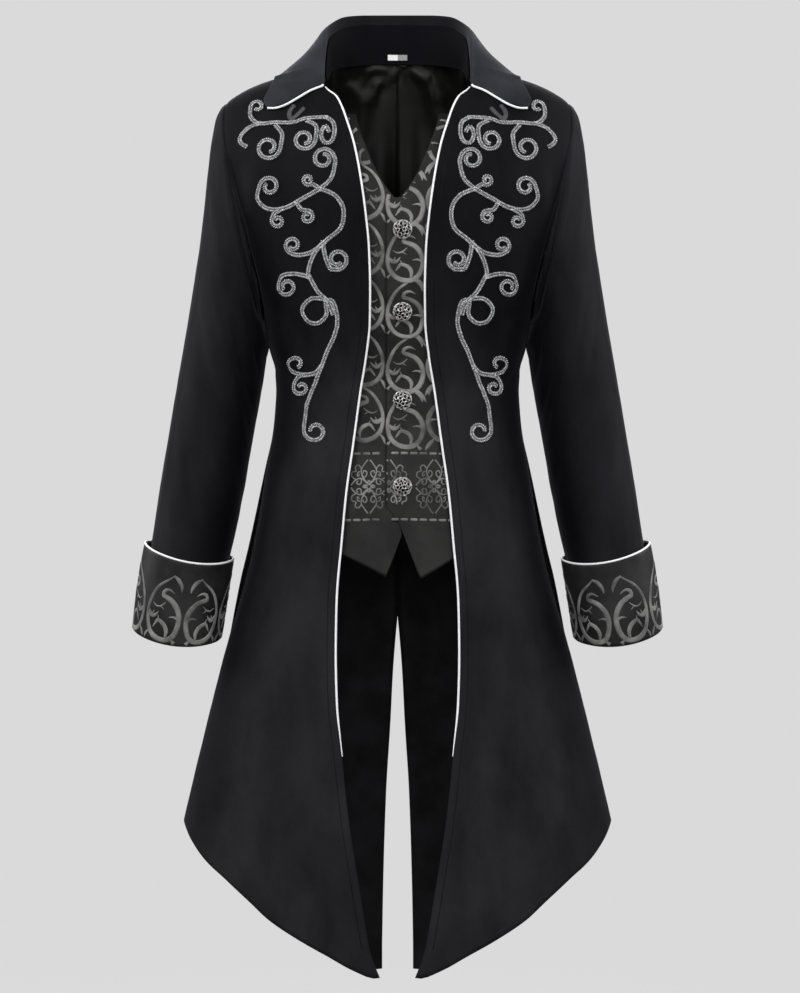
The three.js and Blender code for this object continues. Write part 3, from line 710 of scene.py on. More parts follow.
# slack folds of the upper lining, which hangs loose across the shoulders
liningFolds = table(
    "x z toX toZ width depth",
    (6, 44, 0, 30, 4.5, 5.0), (0, 30, -26, 14, 4.5, 6.0), (-26, 14, -44, -6, 6, 4.5),
    (-44, -6, -52, -60, 9, 3.0),
    (14, 36, 2, 20, 5, -5.0), (2, 20, -22, 4, 5, -4.5), (24, 32, 44, -8, 7, 4.0), (44, -8, 58, -90, 9, 2.6),
    (-62, 30, -44, 24, 5, -7.0), (62, 30, 44, 24, 5, -7.0), (-44, 24, -14, 30, 4, 3.6),
    (44, 24, 18, 30, 4, 3.2), (-66, 10, -50, -4, 6, 3.0), (66, 10, 50, -6, 6, 3.0),
    (8, -20, 14, -150, 16, -3.0), (-22, -40, -30, -190, 14, 3.0), (30, -60, 24, -190, 12, 2.4),
)


def liningPoint(point, out):
    slack = creaseHeight(liningFolds, point.x, point.z) * (1 - smooth(-point.z, 150, 260))
    loose = liningCut["sag"] * smooth(point.z, -260, -40)
    return point - out * (liningCut["clear"] + max(slack, -liningCut["sag"]) + loose)


def lining(side, mirror):
    turn = -1 if mirror else 1
    rows = bothSides([row[:-2] for row in panelRows("back")], mirror)
    normals = rowNormals(rows, False)
    moved = []
    for i, row in enumerate(rows):
        line = [liningPoint(point, normal * turn) for point, normal in zip(row, normals[i])]
        if row[0].z > liningCut["seamTo"]:
            # the two halves cross a little at the centre seam
            under = liningCut["under"] if mirror else 0.0
            line[0] = line[0] + Vector((-liningCut["crossing"] * turn, under, 0))
        moved.append(line)
    piece = wallMesh(f"backLining_{side}", moved, coat["liningWall"], looks["tail"], outward=-turn)
    piece.data.materials[1] = looks["tail"]
    piece.data.materials.append(looks["lining"])
    # satin above, and the darker cloth of the tails below
    satin = [2 if face.center.z > liningCut["satinTo"] * mm else 0 for face in piece.data.polygons]
    piece.data.polygons.foreach_set("material_index", satin)
    dressPiece(piece, "lining", f"lining_{side}")


for side, mirror in sides:
    lining(side, mirror)
print("lining ready")


sleeveCut = {
    "around": 84,
    "along": 150,
    "length": 640,
    "radius": 56,
    "creaseAngle": 24,
    "pressUnderarm": 3.9,
    "allowance": (3.5, 2.6),
}

# turn is in degrees round the sleeve, from its outer side by the front; down is a share of its length
sleeveCreases = table(
    "turn down toTurn toDown width depth",
    (70, 0.05, 150, 0.16, 11, -3.4), (100, 0.02, 175, 0.20, 10, 3.0), (60, 0.10, 130, 0.26, 12, 2.4),
    (110, 0.30, 185, 0.42, 10, -3.0), (95, 0.40, 170, 0.50, 9, -3.2), (70, 0.44, 150, 0.56, 9, 2.6),
    (30, 0.50, 110, 0.60, 10, -2.2), (120, 0.58, 190, 0.70, 10, -2.4), (40, 0.66, 100, 0.78, 12, 1.8),
    (230, 0.06, 300, 0.20, 11, -3.0), (200, 0.36, 280, 0.48, 10, -3.2), (210, 0.46, 300, 0.56, 10, 2.8),
    (240, 0.60, 320, 0.74, 11, -2.2), (20, 0.16, 60, 0.34, 14, 1.8),
)


def curveThrough(points, t):
    # smooth curve through points, t counted in points
    i = min(int(t), len(points) - 2)
    f = t - i
    p0, p1, p2, p3 = (points[clampIndex(i + k, points)] for k in (-1, 0, 1, 2))
    return 0.5 * (2 * p1 + (p2 - p0) * f + (2 * p0 - 5 * p1 + 4 * p2 - p3) * f * f
                  + (3 * p1 - p0 - 3 * p2 + p3) * f ** 3)


def armholePoint(angle):
    z = lerp(coat["armholeBottom"], coat["shoulderTip"][2], (1 + math.cos(angle)) / 2)
    x = along(armholeTable, "z", "x", z)
    y = coat["shoulderTip"][1] if angle == 0 else surfaceY(x, z, "front" if angle <= math.pi else "back")
    return Vector((x + lerp(1.2, 3.4, (1 - math.cos(angle)) / 2), y, z))


def tubePoint(row, angle):
    across = (1 + math.cos(angle)) / 2
    forward = math.sin(angle)
    z = lerp(row["innerZ"], row["outerZ"], across) - row["dip"] * forward * (0.6 + 0.4 * forward)
    return Vector((lerp(row["innerX"], row["outerX"], across), -forward * row["depth"], z))


def tubeRows(first, rows, around, lengthSteps):
    # a sleeve's grid, from the armhole ring if there is one through every row of its table
    columns = []
    for k in range(around):
        angle = 2 * math.pi * k / around
        spine = ([first(angle)] if first else []) + [tubePoint(row, angle) for row in rows]
        span = len(spine) - 1
        columns.append([curveThrough(spine, span * n / lengthSteps) for n in range(lengthSteps + 1)])
    return [list(row) for row in zip(*columns)]


def sleeveRelief(angle, down, radius):
    # how far the creases and the pressed front line lift the cloth
    height = 0
    degrees = math.degrees(angle)
    for row in sleeveCreases:
        runTurn = math.radians(row["toTurn"] - row["turn"]) * radius
        runDown = (row["toDown"] - row["down"]) * sleeveCut["length"]
        length = math.hypot(runTurn, runDown)
        px = math.radians(degrees - row["turn"]) * radius
        pz = (down - row["down"]) * sleeveCut["length"]
        t = (px * runTurn + pz * runDown) / length ** 2
        if -0.3 < t < 1.3:
            away = (px * runDown - pz * runTurn) / length + 4 * math.sin(t * math.pi)
            fade = smooth(t, -0.3, 0.3) * (1 - smooth(t, 0.7, 1.3))
            height += row["depth"] * fade * math.exp(-(away / row["width"]) ** 2)
    pressed = (degrees - sleeveCut["creaseAngle"]) / 4.2
    height += 1.1 * math.exp(-pressed * pressed) * smooth(down, 0.06, 0.2)
    inside = smooth(-math.cos(angle), 0.55, 0.95)
    return height * smooth(down, 0.0, 0.05) * (1 - smooth(down, 0.84, 0.9)) * (1 - 0.8 * inside)


def sleeve(side, mirror):
    around, steps = sleeveCut["around"], sleeveCut["along"]
    rows = tubeRows(armholePoint, sleeveTable, around, steps)
    normals = rowNormals(rows, True)
    moved = []
    for i, row in enumerate(rows):
        down = i / steps
        line = []
        for k, point in enumerate(row):
            angle = 2 * math.pi * k / around
            height = sleeveRelief(angle, down, sleeveCut["radius"])
            height += ripple(point.x + point.y, point.z, 5.0) * smooth(down, 0, 0.03)
            near = (point - rows[0][k]).length
            height -= panelCut["seam"][0] * math.exp(-(near / panelCut["seam"][1]) ** 2)
            underarm = 1 - math.cos(angle)
            if underarm > 1.5 and down < 0.3:
                height = min(height, 0)
            # just under the arm the sleeve lies against the coat's side
            press = sleeveCut["pressUnderarm"] * smooth(-point.z, 278, 286) * (1 - smooth(-point.z, 308, 328))
            press *= smooth(underarm, 1.3, 1.9)
            line.append(point + normals[i][k] * (-height * tubeSign) - Vector((press, 0, 0)))
        moved.append(line)
    # the seam allowance turns in at the armhole
    middle = sum(rows[0], Vector()) / around
    aside, inward = sleeveCut["allowance"]
    tuck = [[point + (middle - point).normalized() * inward * n - Vector((aside * n, 0, 0))
             for point in moved[0]] for n in (2, 1)]
    moved = tuck + moved
    piece = wallMesh(f"coatSleeve_{side}", bothSides(moved, mirror), coat["wall"], looks["sleeve"],
                     outward=tubeSign * (-1 if mirror else 1), tube=True, inner=looks["tail"])
    dressPiece(piece, "coat_cloth", f"sleeve_{side}")


# which way a tube's grid normals point, in or out
probe = rowNormals(tubeRows(armholePoint, sleeveTable, 12, 12), True)[6][0]
tubeSign = -1 if probe.x > 0 else 1
for side, mirror in sides:
    sleeve(side, mirror)


cuffCut = {"around": 96, "rows": 26, "middleX": 262, "bulge": 1.2, "turnIns": ((0.9, 0.8), (1.3, 2.0))}


def cuffPoint(angle, down, lift=0.0):
    spine = [tubePoint(row, angle) for row in cuffTable]
    point = curveThrough(spine, down * (len(spine) - 1))
    beside = curveThrough([tubePoint(row, angle + 0.02) for row in cuffTable], down * (len(spine) - 1))
    below = curveThrough(spine, down * (len(spine) - 1) + (0.02 if down < 0.98 else -0.02))
    run = (below - point) * (1 if down < 0.98 else -1)
    normal = (beside - point).cross(run).normalized()
    if normal.dot(Vector((point.x - cuffCut["middleX"], point.y, 0))) < 0:
        normal = -normal
    bulge = cuffCut["bulge"] * math.sin(down * math.pi) + 0.5 * noise.noise(Vector((angle * 2, down * 2, 4)))
    return point + normal * (bulge + lift), normal


def cuff(side, mirror):
    around, steps = cuffCut["around"], cuffCut["rows"]
    rows = [[cuffPoint(2 * math.pi * k / around, n / steps)[0] for k in range(around)]
            for n in range(steps + 1)]
    # the lower edge turns in over the sleeve's end
    last = rows[-1]
    middle = sum(last, Vector()) / len(last)
    for drop, tuck in cuffCut["turnIns"]:
        rows.append([p + (middle - p).normalized() * tuck + Vector((0, 0, -drop)) for p in last])
    piece = wallMesh(f"brocadeCuff_{side}", bothSides(rows, mirror), coat["wall"], looks["cuff"],
                     outward=tubeSign * (-1 if mirror else 1), tube=True)
    dressPiece(piece, "brocade", f"cuff_{side}")


for side, mirror in sides:
    cuff(side, mirror)
print("sleeves and cuffs ready")


collarCut = {
    "roll": 14,
    "standShare": 0.88,
    "standSteps": 60,
    "fallSteps": 72,
    "notch": 0,
    "clear": 3.9,
    "sagFrom": 0.8,
    "edgeSag": 12.5,
    "backBow": 5,
    "overShoulder": 0.55,
}


def tablePoint(rows, s):
    return Vector([along(rows, "s", name, s) for name in "xyz"])


def neckline(s):
    # from the middle of the back, s 0, past the neck point, 0.5, to the notch, 1
    neckX, neckZ = coat["neckPoint"][0], coat["neckPoint"][2]
    if s <= 0.5:
        x = neckX * math.sin(s * math.pi)
        y, z = topLine(x, "back")
        return Vector((x, y, z))
    turn = math.acos(1 - (neckZ - collarCut["notch"]) / (neckZ - coat["chest"]))
    z = neckZ - (neckZ - coat["chest"]) * (1 - math.cos((s - 0.5) * 2 * turn))
    x = frontEdgeX(z)
    return Vector((x, surfaceY(x, z, "front"), z))


def standFullness(s):
    # how much of the full stand is left: all of it behind, almost none at the notch
    return clamp((1 - s) / 0.45, 0.08, 1)


def collarOutward(s):
    # level, from the neck out through the fold
    run = tablePoint(foldTable, min(s + 0.02, 1)) - tablePoint(foldTable, max(s - 0.02, 0))
    run.z = 0
    outward = run.cross(Vector((0, 0, 1))).normalized()
    fold = tablePoint(foldTable, s)
    return -outward if outward.dot(Vector((fold.x, fold.y, 0))) < 0 else outward


def rollPoint(s, inward, drop):
    # a point beside the fold, further in and lower
    point = tablePoint(foldTable, s) - collarOutward(s) * inward
    point.z -= drop
    return point


def clearOfFront(point, distance):
    # a point moved off the coat front, where it is nearer than the distance
    for settle in range(4):
        topY, topZ = topLine(abs(point.x), "front")
        z = min(point.z, topZ - 0.5)
        y = surfaceY(point.x, min(point.z, topZ), "front")
        slopeX = (surfaceY(point.x + 1, z, "front") - surfaceY(point.x - 1, z, "front")) / 2
        slopeZ = surfaceY(point.x, z + 0.5, "front") - surfaceY(point.x, z - 0.5, "front")
        normal = Vector((slopeX, -1, slopeZ)).normalized()
        height = (y - point.y) * -normal.y + max(point.z - topZ, 0) * normal.z
        if point.y < topY and height < distance:
            point = point + normal * (distance - height)
    return point


def fallSection(s):
    # up inside the fold, over it, and down the leaf to its edge
    full = standFullness(s)
    start = rollPoint(s, 0.4, 0.2 + collarCut["roll"] * full)
    crest = rollPoint(s, -0.6, 0)
    shoulder = rollPoint(s, -4 * full - 1.5, 2.5)
    edge = tablePoint(fallEdgeTable, s)
    section = [start, start.lerp(crest, 0.55), crest, shoulder]
    for t in (0.2, 0.4, 0.6, 0.78, 0.9, 1.0):
        point = shoulder.lerp(edge, t)
        late = max(0, s - collarCut["sagFrom"]) / (1 - collarCut["sagFrom"])
        sag = collarCut["edgeSag"] * math.sin(math.pi * t ** 1.5) * late
        point.z += collarCut["backBow"] * math.sin(math.pi * t) * (1 - s) - sag
        section.append(clearOfFront(point, collarCut["clear"]) if s > collarCut["overShoulder"] else point)
    return section


def standSection(s):
    # from inside the neck seam up to just under the fold
    foot = neckline(s)
    foot.z += 1.9
    head = rollPoint(s, 3.2, 1.5 + collarCut["roll"] * standFullness(s))
    inward = -collarOutward(s)
    inward.z = 0
    low = foot + inward * 2.0 - Vector((0, 0, 5.5))
    high = rollPoint(s, 2.9, 1.5 + (collarCut["roll"] - 4) * standFullness(s))
    return [low, foot, foot.lerp(head, 0.34), foot.lerp(head, 0.67), head, high]


def fineRow(section, count):
    return [curveThrough(section, (len(section) - 1) * n / count) for n in range(count + 1)]


def ringOfSections(section, most, steps, count):
    half = [fineRow(section(most * n / steps), count) for n in range(steps + 1)]
    return bothSides(half[:0:-1], True) + half


def collar():
    standRows = ringOfSections(standSection, collarCut["standShare"], collarCut["standSteps"], 12)
    stand = wallMesh("collarStand", standRows, coat["facingWall"], looks["stand"],
                     outward=outwardOf(standRows))
    dressPiece(stand, "coat_cloth", "collar_stand")
    fallRows = ringOfSections(fallSection, 1.0, collarCut["fallSteps"], 30)
    fall = wallMesh("collarFall", fallRows, coat["wall"], looks["collar"], outward=outwardOf(fallRows))
    dressPiece(fall, "coat_cloth", "collar_fall")


def outwardOf(rows):
    # 1 or -1, so that the wall's outer face looks away from the neck
    i = len(rows) // 2
    j = len(rows[0]) // 2
    return -1 if rowNormals(rows, False)[i][j].y > 0 else 1


collar()
print("collar ready")


pipingCut = {
    "radius": 1.35,
    "gap": 0.1,
    "start": -1,
    "thinFrom": -740,
    "end": -804,
    "sides": 10,
}
facingStitch = {"inFromEdge": 9.0, "start": -24.0, "end": -1030, "step": 5.0, "radius": 0.45}


def frontPiping(side, mirror):
    path = []
    z = pipingCut["start"]
    while z > pipingCut["end"]:
        x = frontEdgeX(z)
        thin = lerp(1.0, 0.45, smooth(-z, -pipingCut["thinFrom"], -pipingCut["end"]))
        radius = pipingCut["radius"] * thin
        inside = coatPoint(x + 4, z, "front")
        edge = coatPoint(x, z, "front")
        out = (edge - inside).normalized()
        place = edge + out * (radius + pipingCut["gap"])
        path.append((flip(place, mirror), Vector((0, -1, 0)), radius, radius))
        z -= 3.0
    piece = sweep([path], f"frontPiping_{side}", looks["piping"], pipingCut["sides"])
    dressPiece(piece, "piping", f"piping_front_{side}")


def collarPiping(side, mirror):
    edge = fallSection(1)[2:]
    inside = fallSection(0.96)[2:]
    points = []
    for here, back in zip(edge, inside):
        place = here + (here - back).normalized() * (pipingCut["radius"] + 0.3)
        points.append(clearOfFront(place, 3.0))
    path = [(flip(point, mirror), Vector((0, -1, 0)), pipingCut["radius"], pipingCut["radius"])
            for point in splinePoints(points, 2.0)]
    piece = sweep([path], f"collarPiping_{side}", looks["piping"], pipingCut["sides"])
    dressPiece(piece, "piping", f"piping_collar_{side}")


def cuffPiping(side, mirror):
    path = []
    for k in range(120):
        angle = 2 * math.pi * k / 120
        point = cuffPoint(angle, 0.0)[0] + Vector((0, 0, pipingCut["radius"] + pipingCut["gap"]))
        path.append((flip(point, mirror), Vector((0, 0, 1)), pipingCut["radius"], pipingCut["radius"]))
    piece = sweep([path], f"cuffPiping_{side}", looks["piping"], pipingCut["sides"], closed=True)
    dressPiece(piece, "piping", f"piping_cuff_{side}")


def frontStitching(side, mirror):
    # the sunk line where the facing is stitched down, beside the front edge: a thin near-black cord, painted
    # shade for the groove
    path = []
    z = facingStitch["start"]
    while z > facingStitch["end"]:
        point = coatPoint(frontEdgeX(z) + facingStitch["inFromEdge"], z, "front", coat["wall"] / 2 - 0.1)
        path.append((flip(point, mirror), Vector((0, -1, 0)), facingStitch["radius"], facingStitch["radius"]))
        z -= facingStitch["step"]
    piece = sweep([path], f"frontStitching_{side}", looks["recessShade"], 6)
    dressPiece(piece, "coat_cloth")


for side, mirror in sides:
    frontPiping(side, mirror)
    frontStitching(side, mirror)
    collarPiping(side, mirror)
    cuffPiping(side, mirror)
print("piping ready")


vest = {
    "gap": 9,
    "overAhead": 2.5,
    "sideX": 128,
    "top": -36,
    "tuck": 14,
    "neckFoot": -140,
    "placketEnd": -500,
    "overEdge": -13,
    "buttonX": 6,
    "buttonHeights": (-176, -274, -379, -482),
    "dashRows": (-442, -521),
}
vestNeckTable = table("z x", (-36, 50), (-45, 48), (-92, 31), (-120, 17), (-140, 2))
overHemTable = table("x z", (-14, -504), (1, -523), (14, -558), (27, -592), (46, -581), (67, -568),
                     (100, -552), (128, -536))
underHemTable = table("x z", (-6, -538), (4, -565), (14, -590), (32, -580), (50, -571), (67, -563),
                      (100, -548), (128, -532))


def straightAlong(rows, key, name, at):
    # the same read on straight lines, for outlines with corners
    for a, b in zip(rows, rows[1:]):
        if at <= b[key]:
            return lerp(a[name], b[name], clamp((at - a[key]) / (b[key] - a[key])))
    return rows[-1][name]


def vestPoint(x, z, ahead, lift=0.0):
    wave = 0.5 * noise.noise(Vector((x / 30, z / 42, 12.0)))
    pull = -0.8 * math.exp(-((z + 330) / 14) ** 2) * math.exp(-((abs(x) - 20) / 16) ** 2)
    return Vector((x, surfaceY(x, z, "front") + vest["gap"] - ahead - lift + wave + pull, z))


def vestFront(name, side, mirror, hem, ahead):
    # rows down to the placket's end, then rows out to the pointed hem
    inner = hem[0]["x"]
    rows = []
    shares = [n / 54 for n in range(55)]
    heights = [lerp(vest["top"], vest["placketEnd"], n / 110) for n in range(110)]
    for z in heights:
        neckX = max(along(vestNeckTable, "z", "x", z), inner) if z > vest["neckFoot"] else inner
        sideX = min(vest["sideX"], frontEdgeX(z) + vest["tuck"] + 0.5 * max(0, -10 - z))
        rows.append([vestPoint(lerp(neckX, sideX, s), z, ahead) for s in shares])
    for n in range(25):
        row = []
        for s in shares:
            x = lerp(inner, vest["sideX"], s)
            row.append(vestPoint(x, lerp(vest["placketEnd"], straightAlong(hem, "x", "z", x), n / 24), ahead))
        rows.append(row)
    piece = wallMesh(name, bothSides(rows, mirror), coat["facingWall"], looks["vest"],
                     outward=-1 if mirror else 1, inner=looks["tail"])
    dressPiece(piece, "brocade", f"vest_{side}")


vestFront("waistcoatOver", "left", False, overHemTable, vest["overAhead"])
vestFront("waistcoatUnder", "right", True, underHemTable, 0)
print("waistcoat ready")


def repeatTree(name, build):
    # one shape set on every point, turned to its aim and face and varied a little in size
    tree = bpy.data.node_groups.new(name, "GeometryNodeTree")
    face = tree.interface
    face.new_socket("Geometry", in_out="INPUT", socket_type="NodeSocketGeometry")
    for label, value in (("Length", 1.0), ("Width", 1.0), ("Height", 1.0)):
        face.new_socket(label, in_out="INPUT", socket_type="NodeSocketFloat").default_value = value
    face.new_socket("Seed", in_out="INPUT", socket_type="NodeSocketInt").default_value = 1
    face.new_socket("Finish", in_out="INPUT", socket_type="NodeSocketMaterial")
    face.new_socket("Geometry", in_out="OUTPUT", socket_type="NodeSocketGeometry")
    source = tree.nodes.new("NodeGroupInput")
    target = tree.nodes.new("NodeGroupOutput")
    one = build(tree, source)
    aim, up = named(tree, "aim", "FLOAT_VECTOR"), named(tree, "face", "FLOAT_VECTOR")
    rotate = tree.nodes.new("FunctionNodeAxesToRotation")
    rotate.primary_axis, rotate.secondary_axis = "Z", "X"
    tree.links.new(up, rotate.inputs[0])
    tree.links.new(aim, rotate.inputs[1])
    vary = tree.nodes.new("FunctionNodeRandomValue")
    vary.inputs[2].default_value, vary.inputs[3].default_value = 0.86, 1.14
    tree.links.new(source.outputs["Seed"], vary.inputs["Seed"])
    spread = tree.nodes.new("GeometryNodeInstanceOnPoints")
    tree.links.new(source.outputs["Geometry"], spread.inputs["Points"])
    tree.links.new(one, spread.inputs["Instance"])
    tree.links.new(rotate.outputs[0], spread.inputs["Rotation"])
    tree.links.new(vary.outputs[1], spread.inputs["Scale"])
    real = tree.nodes.new("GeometryNodeRealizeInstances")
    paint = tree.nodes.new("GeometryNodeSetMaterial")
    tree.links.new(spread.outputs[0], real.inputs[0])
    tree.links.new(real.outputs[0], paint.inputs["Geometry"])
    tree.links.new(source.outputs["Finish"], paint.inputs["Material"])
    tree.links.new(paint.outputs[0], target.inputs[0])
    return tree


def named(tree, label, kind):
    made = tree.nodes.new("GeometryNodeInputNamedAttribute")
    made.data_type = kind
    made.inputs["Name"].default_value = label
    return made.outputs["Attribute"]


def stitchShape(tree, source):
    # one stitch: a small rounded lozenge lying along X
    ball = tree.nodes.new("GeometryNodeMeshIcoSphere")
    ball.inputs["Radius"].default_value = 0.5
    ball.inputs["Subdivisions"].default_value = 1
    size = tree.nodes.new("ShaderNodeCombineXYZ")
    for label, axis in (("Length", "X"), ("Width", "Y"), ("Height", "Z")):
        tree.links.new(source.outputs[label], size.inputs[axis])
    shape = tree.nodes.new("GeometryNodeTransform")
    tree.links.new(ball.outputs["Mesh"], shape.inputs["Geometry"])
    tree.links.new(size.outputs[0], shape.inputs["Scale"])
    soft = tree.nodes.new("GeometryNodeSetShadeSmooth")
    tree.links.new(shape.outputs[0], soft.inputs[0])
    return soft.outputs[0]


def ringShape(tree, source):
    # one wire ring lying flat
    loop = tree.nodes.new("GeometryNodeCurvePrimitiveCircle")
    loop.inputs["Resolution"].default_value = 12
    wire = tree.nodes.new("GeometryNodeCurvePrimitiveCircle")
    wire.inputs["Resolution"].default_value = 6
    tree.links.new(source.outputs["Length"], loop.inputs["Radius"])
    tree.links.new(source.outputs["Height"], wire.inputs["Radius"])
    body = tree.nodes.new("GeometryNodeCurveToMesh")
    tree.links.new(loop.outputs[0], body.inputs[0])
    tree.links.new(wire.outputs[0], body.inputs[1])
    soft = tree.nodes.new("GeometryNodeSetShadeSmooth")
    tree.links.new(body.outputs[0], soft.inputs[0])
    return soft.outputs[0]


stitchTree = repeatTree("stitches", stitchShape)
ringTree = repeatTree("wireRings", ringShape)


def scatter(name, places, tree, length, width, height, material, seed=1):
    # places: (point, aim, face) in millimetres; returns a plain mesh piece
    mesh = bpy.data.meshes.new(name)
    mesh.from_pydata([tuple(place[0] * mm) for place in places], [], [])
    for label, index in (("aim", 1), ("face", 2)):
        layer = mesh.attributes.new(label, "FLOAT_VECTOR", "POINT")
        layer.data.foreach_set("vector", [value for place in places for value in place[index]])
    piece = placed(name, mesh)
    modifier = piece.modifiers.new("repeat", "NODES")
    modifier.node_group = tree
    inputs = {item.name: item.identifier for item in tree.interface.items_tree if item.in_out == "INPUT"}
    for label, value in (("Length", length * mm), ("Width", width * mm), ("Height", height * mm),
                         ("Seed", seed), ("Finish", material)):
        modifier[inputs[label]] = value
    graph = bpy.context.evaluated_depsgraph_get()
    plain = bpy.data.meshes.new_from_object(piece.evaluated_get(graph))
    piece.modifiers.clear()
    piece.data = plain
    for layer in ("aim", "face"):
        if layer in plain.attributes:
            plain.attributes.remove(plain.attributes[layer])
    return piece


braid = {
    "width": 6.3,
    "height": 1.8,
    "pitch": 2.0,
    "stitch": 3.5,
    "thread": 1.35,
    "lean": 1.15,
    "coreHigh": 0.8,
    "curlEnd": 0.42,
    "curlTurn": 0.88,
}

# each stem runs through its places (out from the middle, up), and a curl gives the place of
# its middle, its radius, its turns and which way it winds
braidStems = [
    {"via": [(84, -41), (110, -42), (124, -46), (146, -46), (166, -47), (176, -38)],
     "curl": (168, -26, 8, 1.0, 1)},
    {"via": [(164, -47), (178, -52), (188, -63), (187, -70), (179, -76)]},
    {"via": [(146, -49), (138, -60), (139, -76)], "curl": (154, -77, 14.5, 1.35, 1)},
    {"via": [(108, -45), (97, -52), (97, -66)], "curl": (111, -68, 13, 1.35, 1)},
    {"via": [(86, -41), (77, -47), (75, -60), (79, -71), (87, -72), (91, -62), (86, -52), (81, -60)]},
    {"via": [(122, -46), (129, -40), (129, -32), (123, -24)], "dim": True},
    {"via": [(127, -42), (119, -36), (111, -28)], "dim": True},
    {"via": [(92, -128), (79, -116), (74, -97)], "curl": (88, -92, 13, 1.4, -1)},
    {"via": [(92, -128), (101, -122)], "curl": (106, -117, 6.5, 1.1, 1)},
    {"via": [(92, -128), (112, -139), (134, -150), (154, -150), (166, -138)],
     "curl": (152, -124, 11.5, 1.25, 1)},
    {"via": [(136, -150), (146, -156)], "curl": (142, -165, 7.5, 1.2, -1)},
    {"via": [(120, -143), (114, -152)], "curl": (107, -161, 7.5, 1.25, 1)},
    {"via": [(92, -128), (74, -136), (64, -152), (67, -174), (84, -189), (98, -204), (105, -222),
             (106, -234)]},
    {"via": [(86, -191), (102, -203), (118, -206)], "curl": (124, -194, 9.5, 1.3, 1)},
    {"via": [(88, -190), (86, -206), (80, -222)], "curl": (71, -212, 12.5, 1.4, -1)},
    {"via": [(105, -232), (122, -228), (137, -230)], "curl": (131, -243, 11, 1.35, -1)},
    {"via": [(105, -230), (94, -250), (82, -262), (76, -278)]},
    {"via": [(84, -259), (102, -258), (113, -270), (107, -284), (94, -287), (84, -277), (85, -262),
             (76, -262), (71, -284), (75, -302), (83, -320), (90, -338), (98, -358), (105, -380),
             (109, -402)],
     "curl": (97, -416, 13, 1.15, -1)},
    {"via": [(89, -336), (98, -346), (112, -348)], "curl": (120, -335, 10.5, 1.0, 1)},
    {"via": [(106, -348), (117, -350), (122, -358)], "curl": (114, -364, 8.5, 1.1, -1)},
]


def curlPoints(last, curl):
    x, z, radius, turns, way = curl
    away = Vector((last[0] - x, last[1] - z))
    angle = math.atan2(away.y, away.x) + way * math.acos(clamp(radius / max(away.length, radius), -1, 1))
    steps = int(14 * turns)
    points = []
    for n in range(steps + 1):
        t = n / steps
        r = radius * lerp(1, braid["curlEnd"], t)
        turn = angle + way * 2 * math.pi * turns * braid["curlTurn"] * t
        points.append((x + r * math.cos(turn), z + r * math.sin(turn)))
    return points


def stemPath(stem, step):
    # an even walk along a stem and its curl
    points = list(stem["via"])
    if "curl" in stem:
        points += curlPoints(points[-1], stem["curl"])
    return splinePoints([Vector((x, 0, z)) for x, z in points], step)


def frontFrame(x, z, lift):
    # the braid's place on the cloth and the way the cloth faces there
    point = coatPoint(x, z, "front", lift)
    beside = coatPoint(x + 1, z, "front", lift)
    below = coatPoint(x, z - 1, "front", lift)
    return point, (below - point).cross(beside - point).normalized()


def braidPieces(side, mirror, dim):
    stitches, cores = [], []
    for stem in braidStems:
        if ("dim" in stem) != dim:
            continue
        path = stemPath(stem, braid["pitch"])
        core = []
        for i, spot in enumerate(path):
            run = path[min(i + 1, len(path) - 1)] - path[max(i - 1, 0)]
            point, face = frontFrame(spot.x, spot.z, coat["wall"] / 2)
            if face.y > 0:
                face = -face
            after = coatPoint(spot.x + run.x * 0.2, spot.z + run.z * 0.2, "front", coat["wall"] / 2)
            aim = (after - point).normalized()
            aside = face.cross(aim).normalized()
            for hand in (-1, 1):
                place = point + aside * (hand * braid["width"] * 0.24) + face * (braid["height"] * 0.55)
                slant = (aim + aside * (hand * -braid["lean"])).normalized()
                stitches.append((flip(place, mirror), flip(slant, mirror), flip(face, mirror)))
            if i % 2 == 0 or i == len(path) - 1:
                core.append((flip(point + face * 0.35, mirror), flip(face, mirror), braid["width"] * 0.42,
                             braid["coreHigh"]))
        if mirror:
            core = core[::-1]
        cores.append(core)
    look = looks["braidDim" if dim else "braid"]
    name = "sprig" if dim else "braid"
    top = scatter(f"{name}Stitches_{side}", stitches, stitchTree, braid["stitch"], braid["thread"],
                  braid["height"], look, seed=4 if mirror else 7)
    base = sweep(cores, f"{name}Core_{side}", looks["braidDim"], 6)
    for piece in (top, base):
        dressPiece(piece, "braid")


for side, mirror in sides:
    braidPieces(side, mirror, False)
    braidPieces(side, mirror, True)
print("braid ready")


brocadeRepeat = {
    "across": 48,
    "down": 66,
    "first": -6,
    "middle": 9.5,
    "height": 0.32,
    "sides": 6,
    "step": 1.6,
    "cuffRadius": 57,
    "cuffMotifs": 7,
    "cuffHeight": -54,
    "cuffDepth": 92,
}

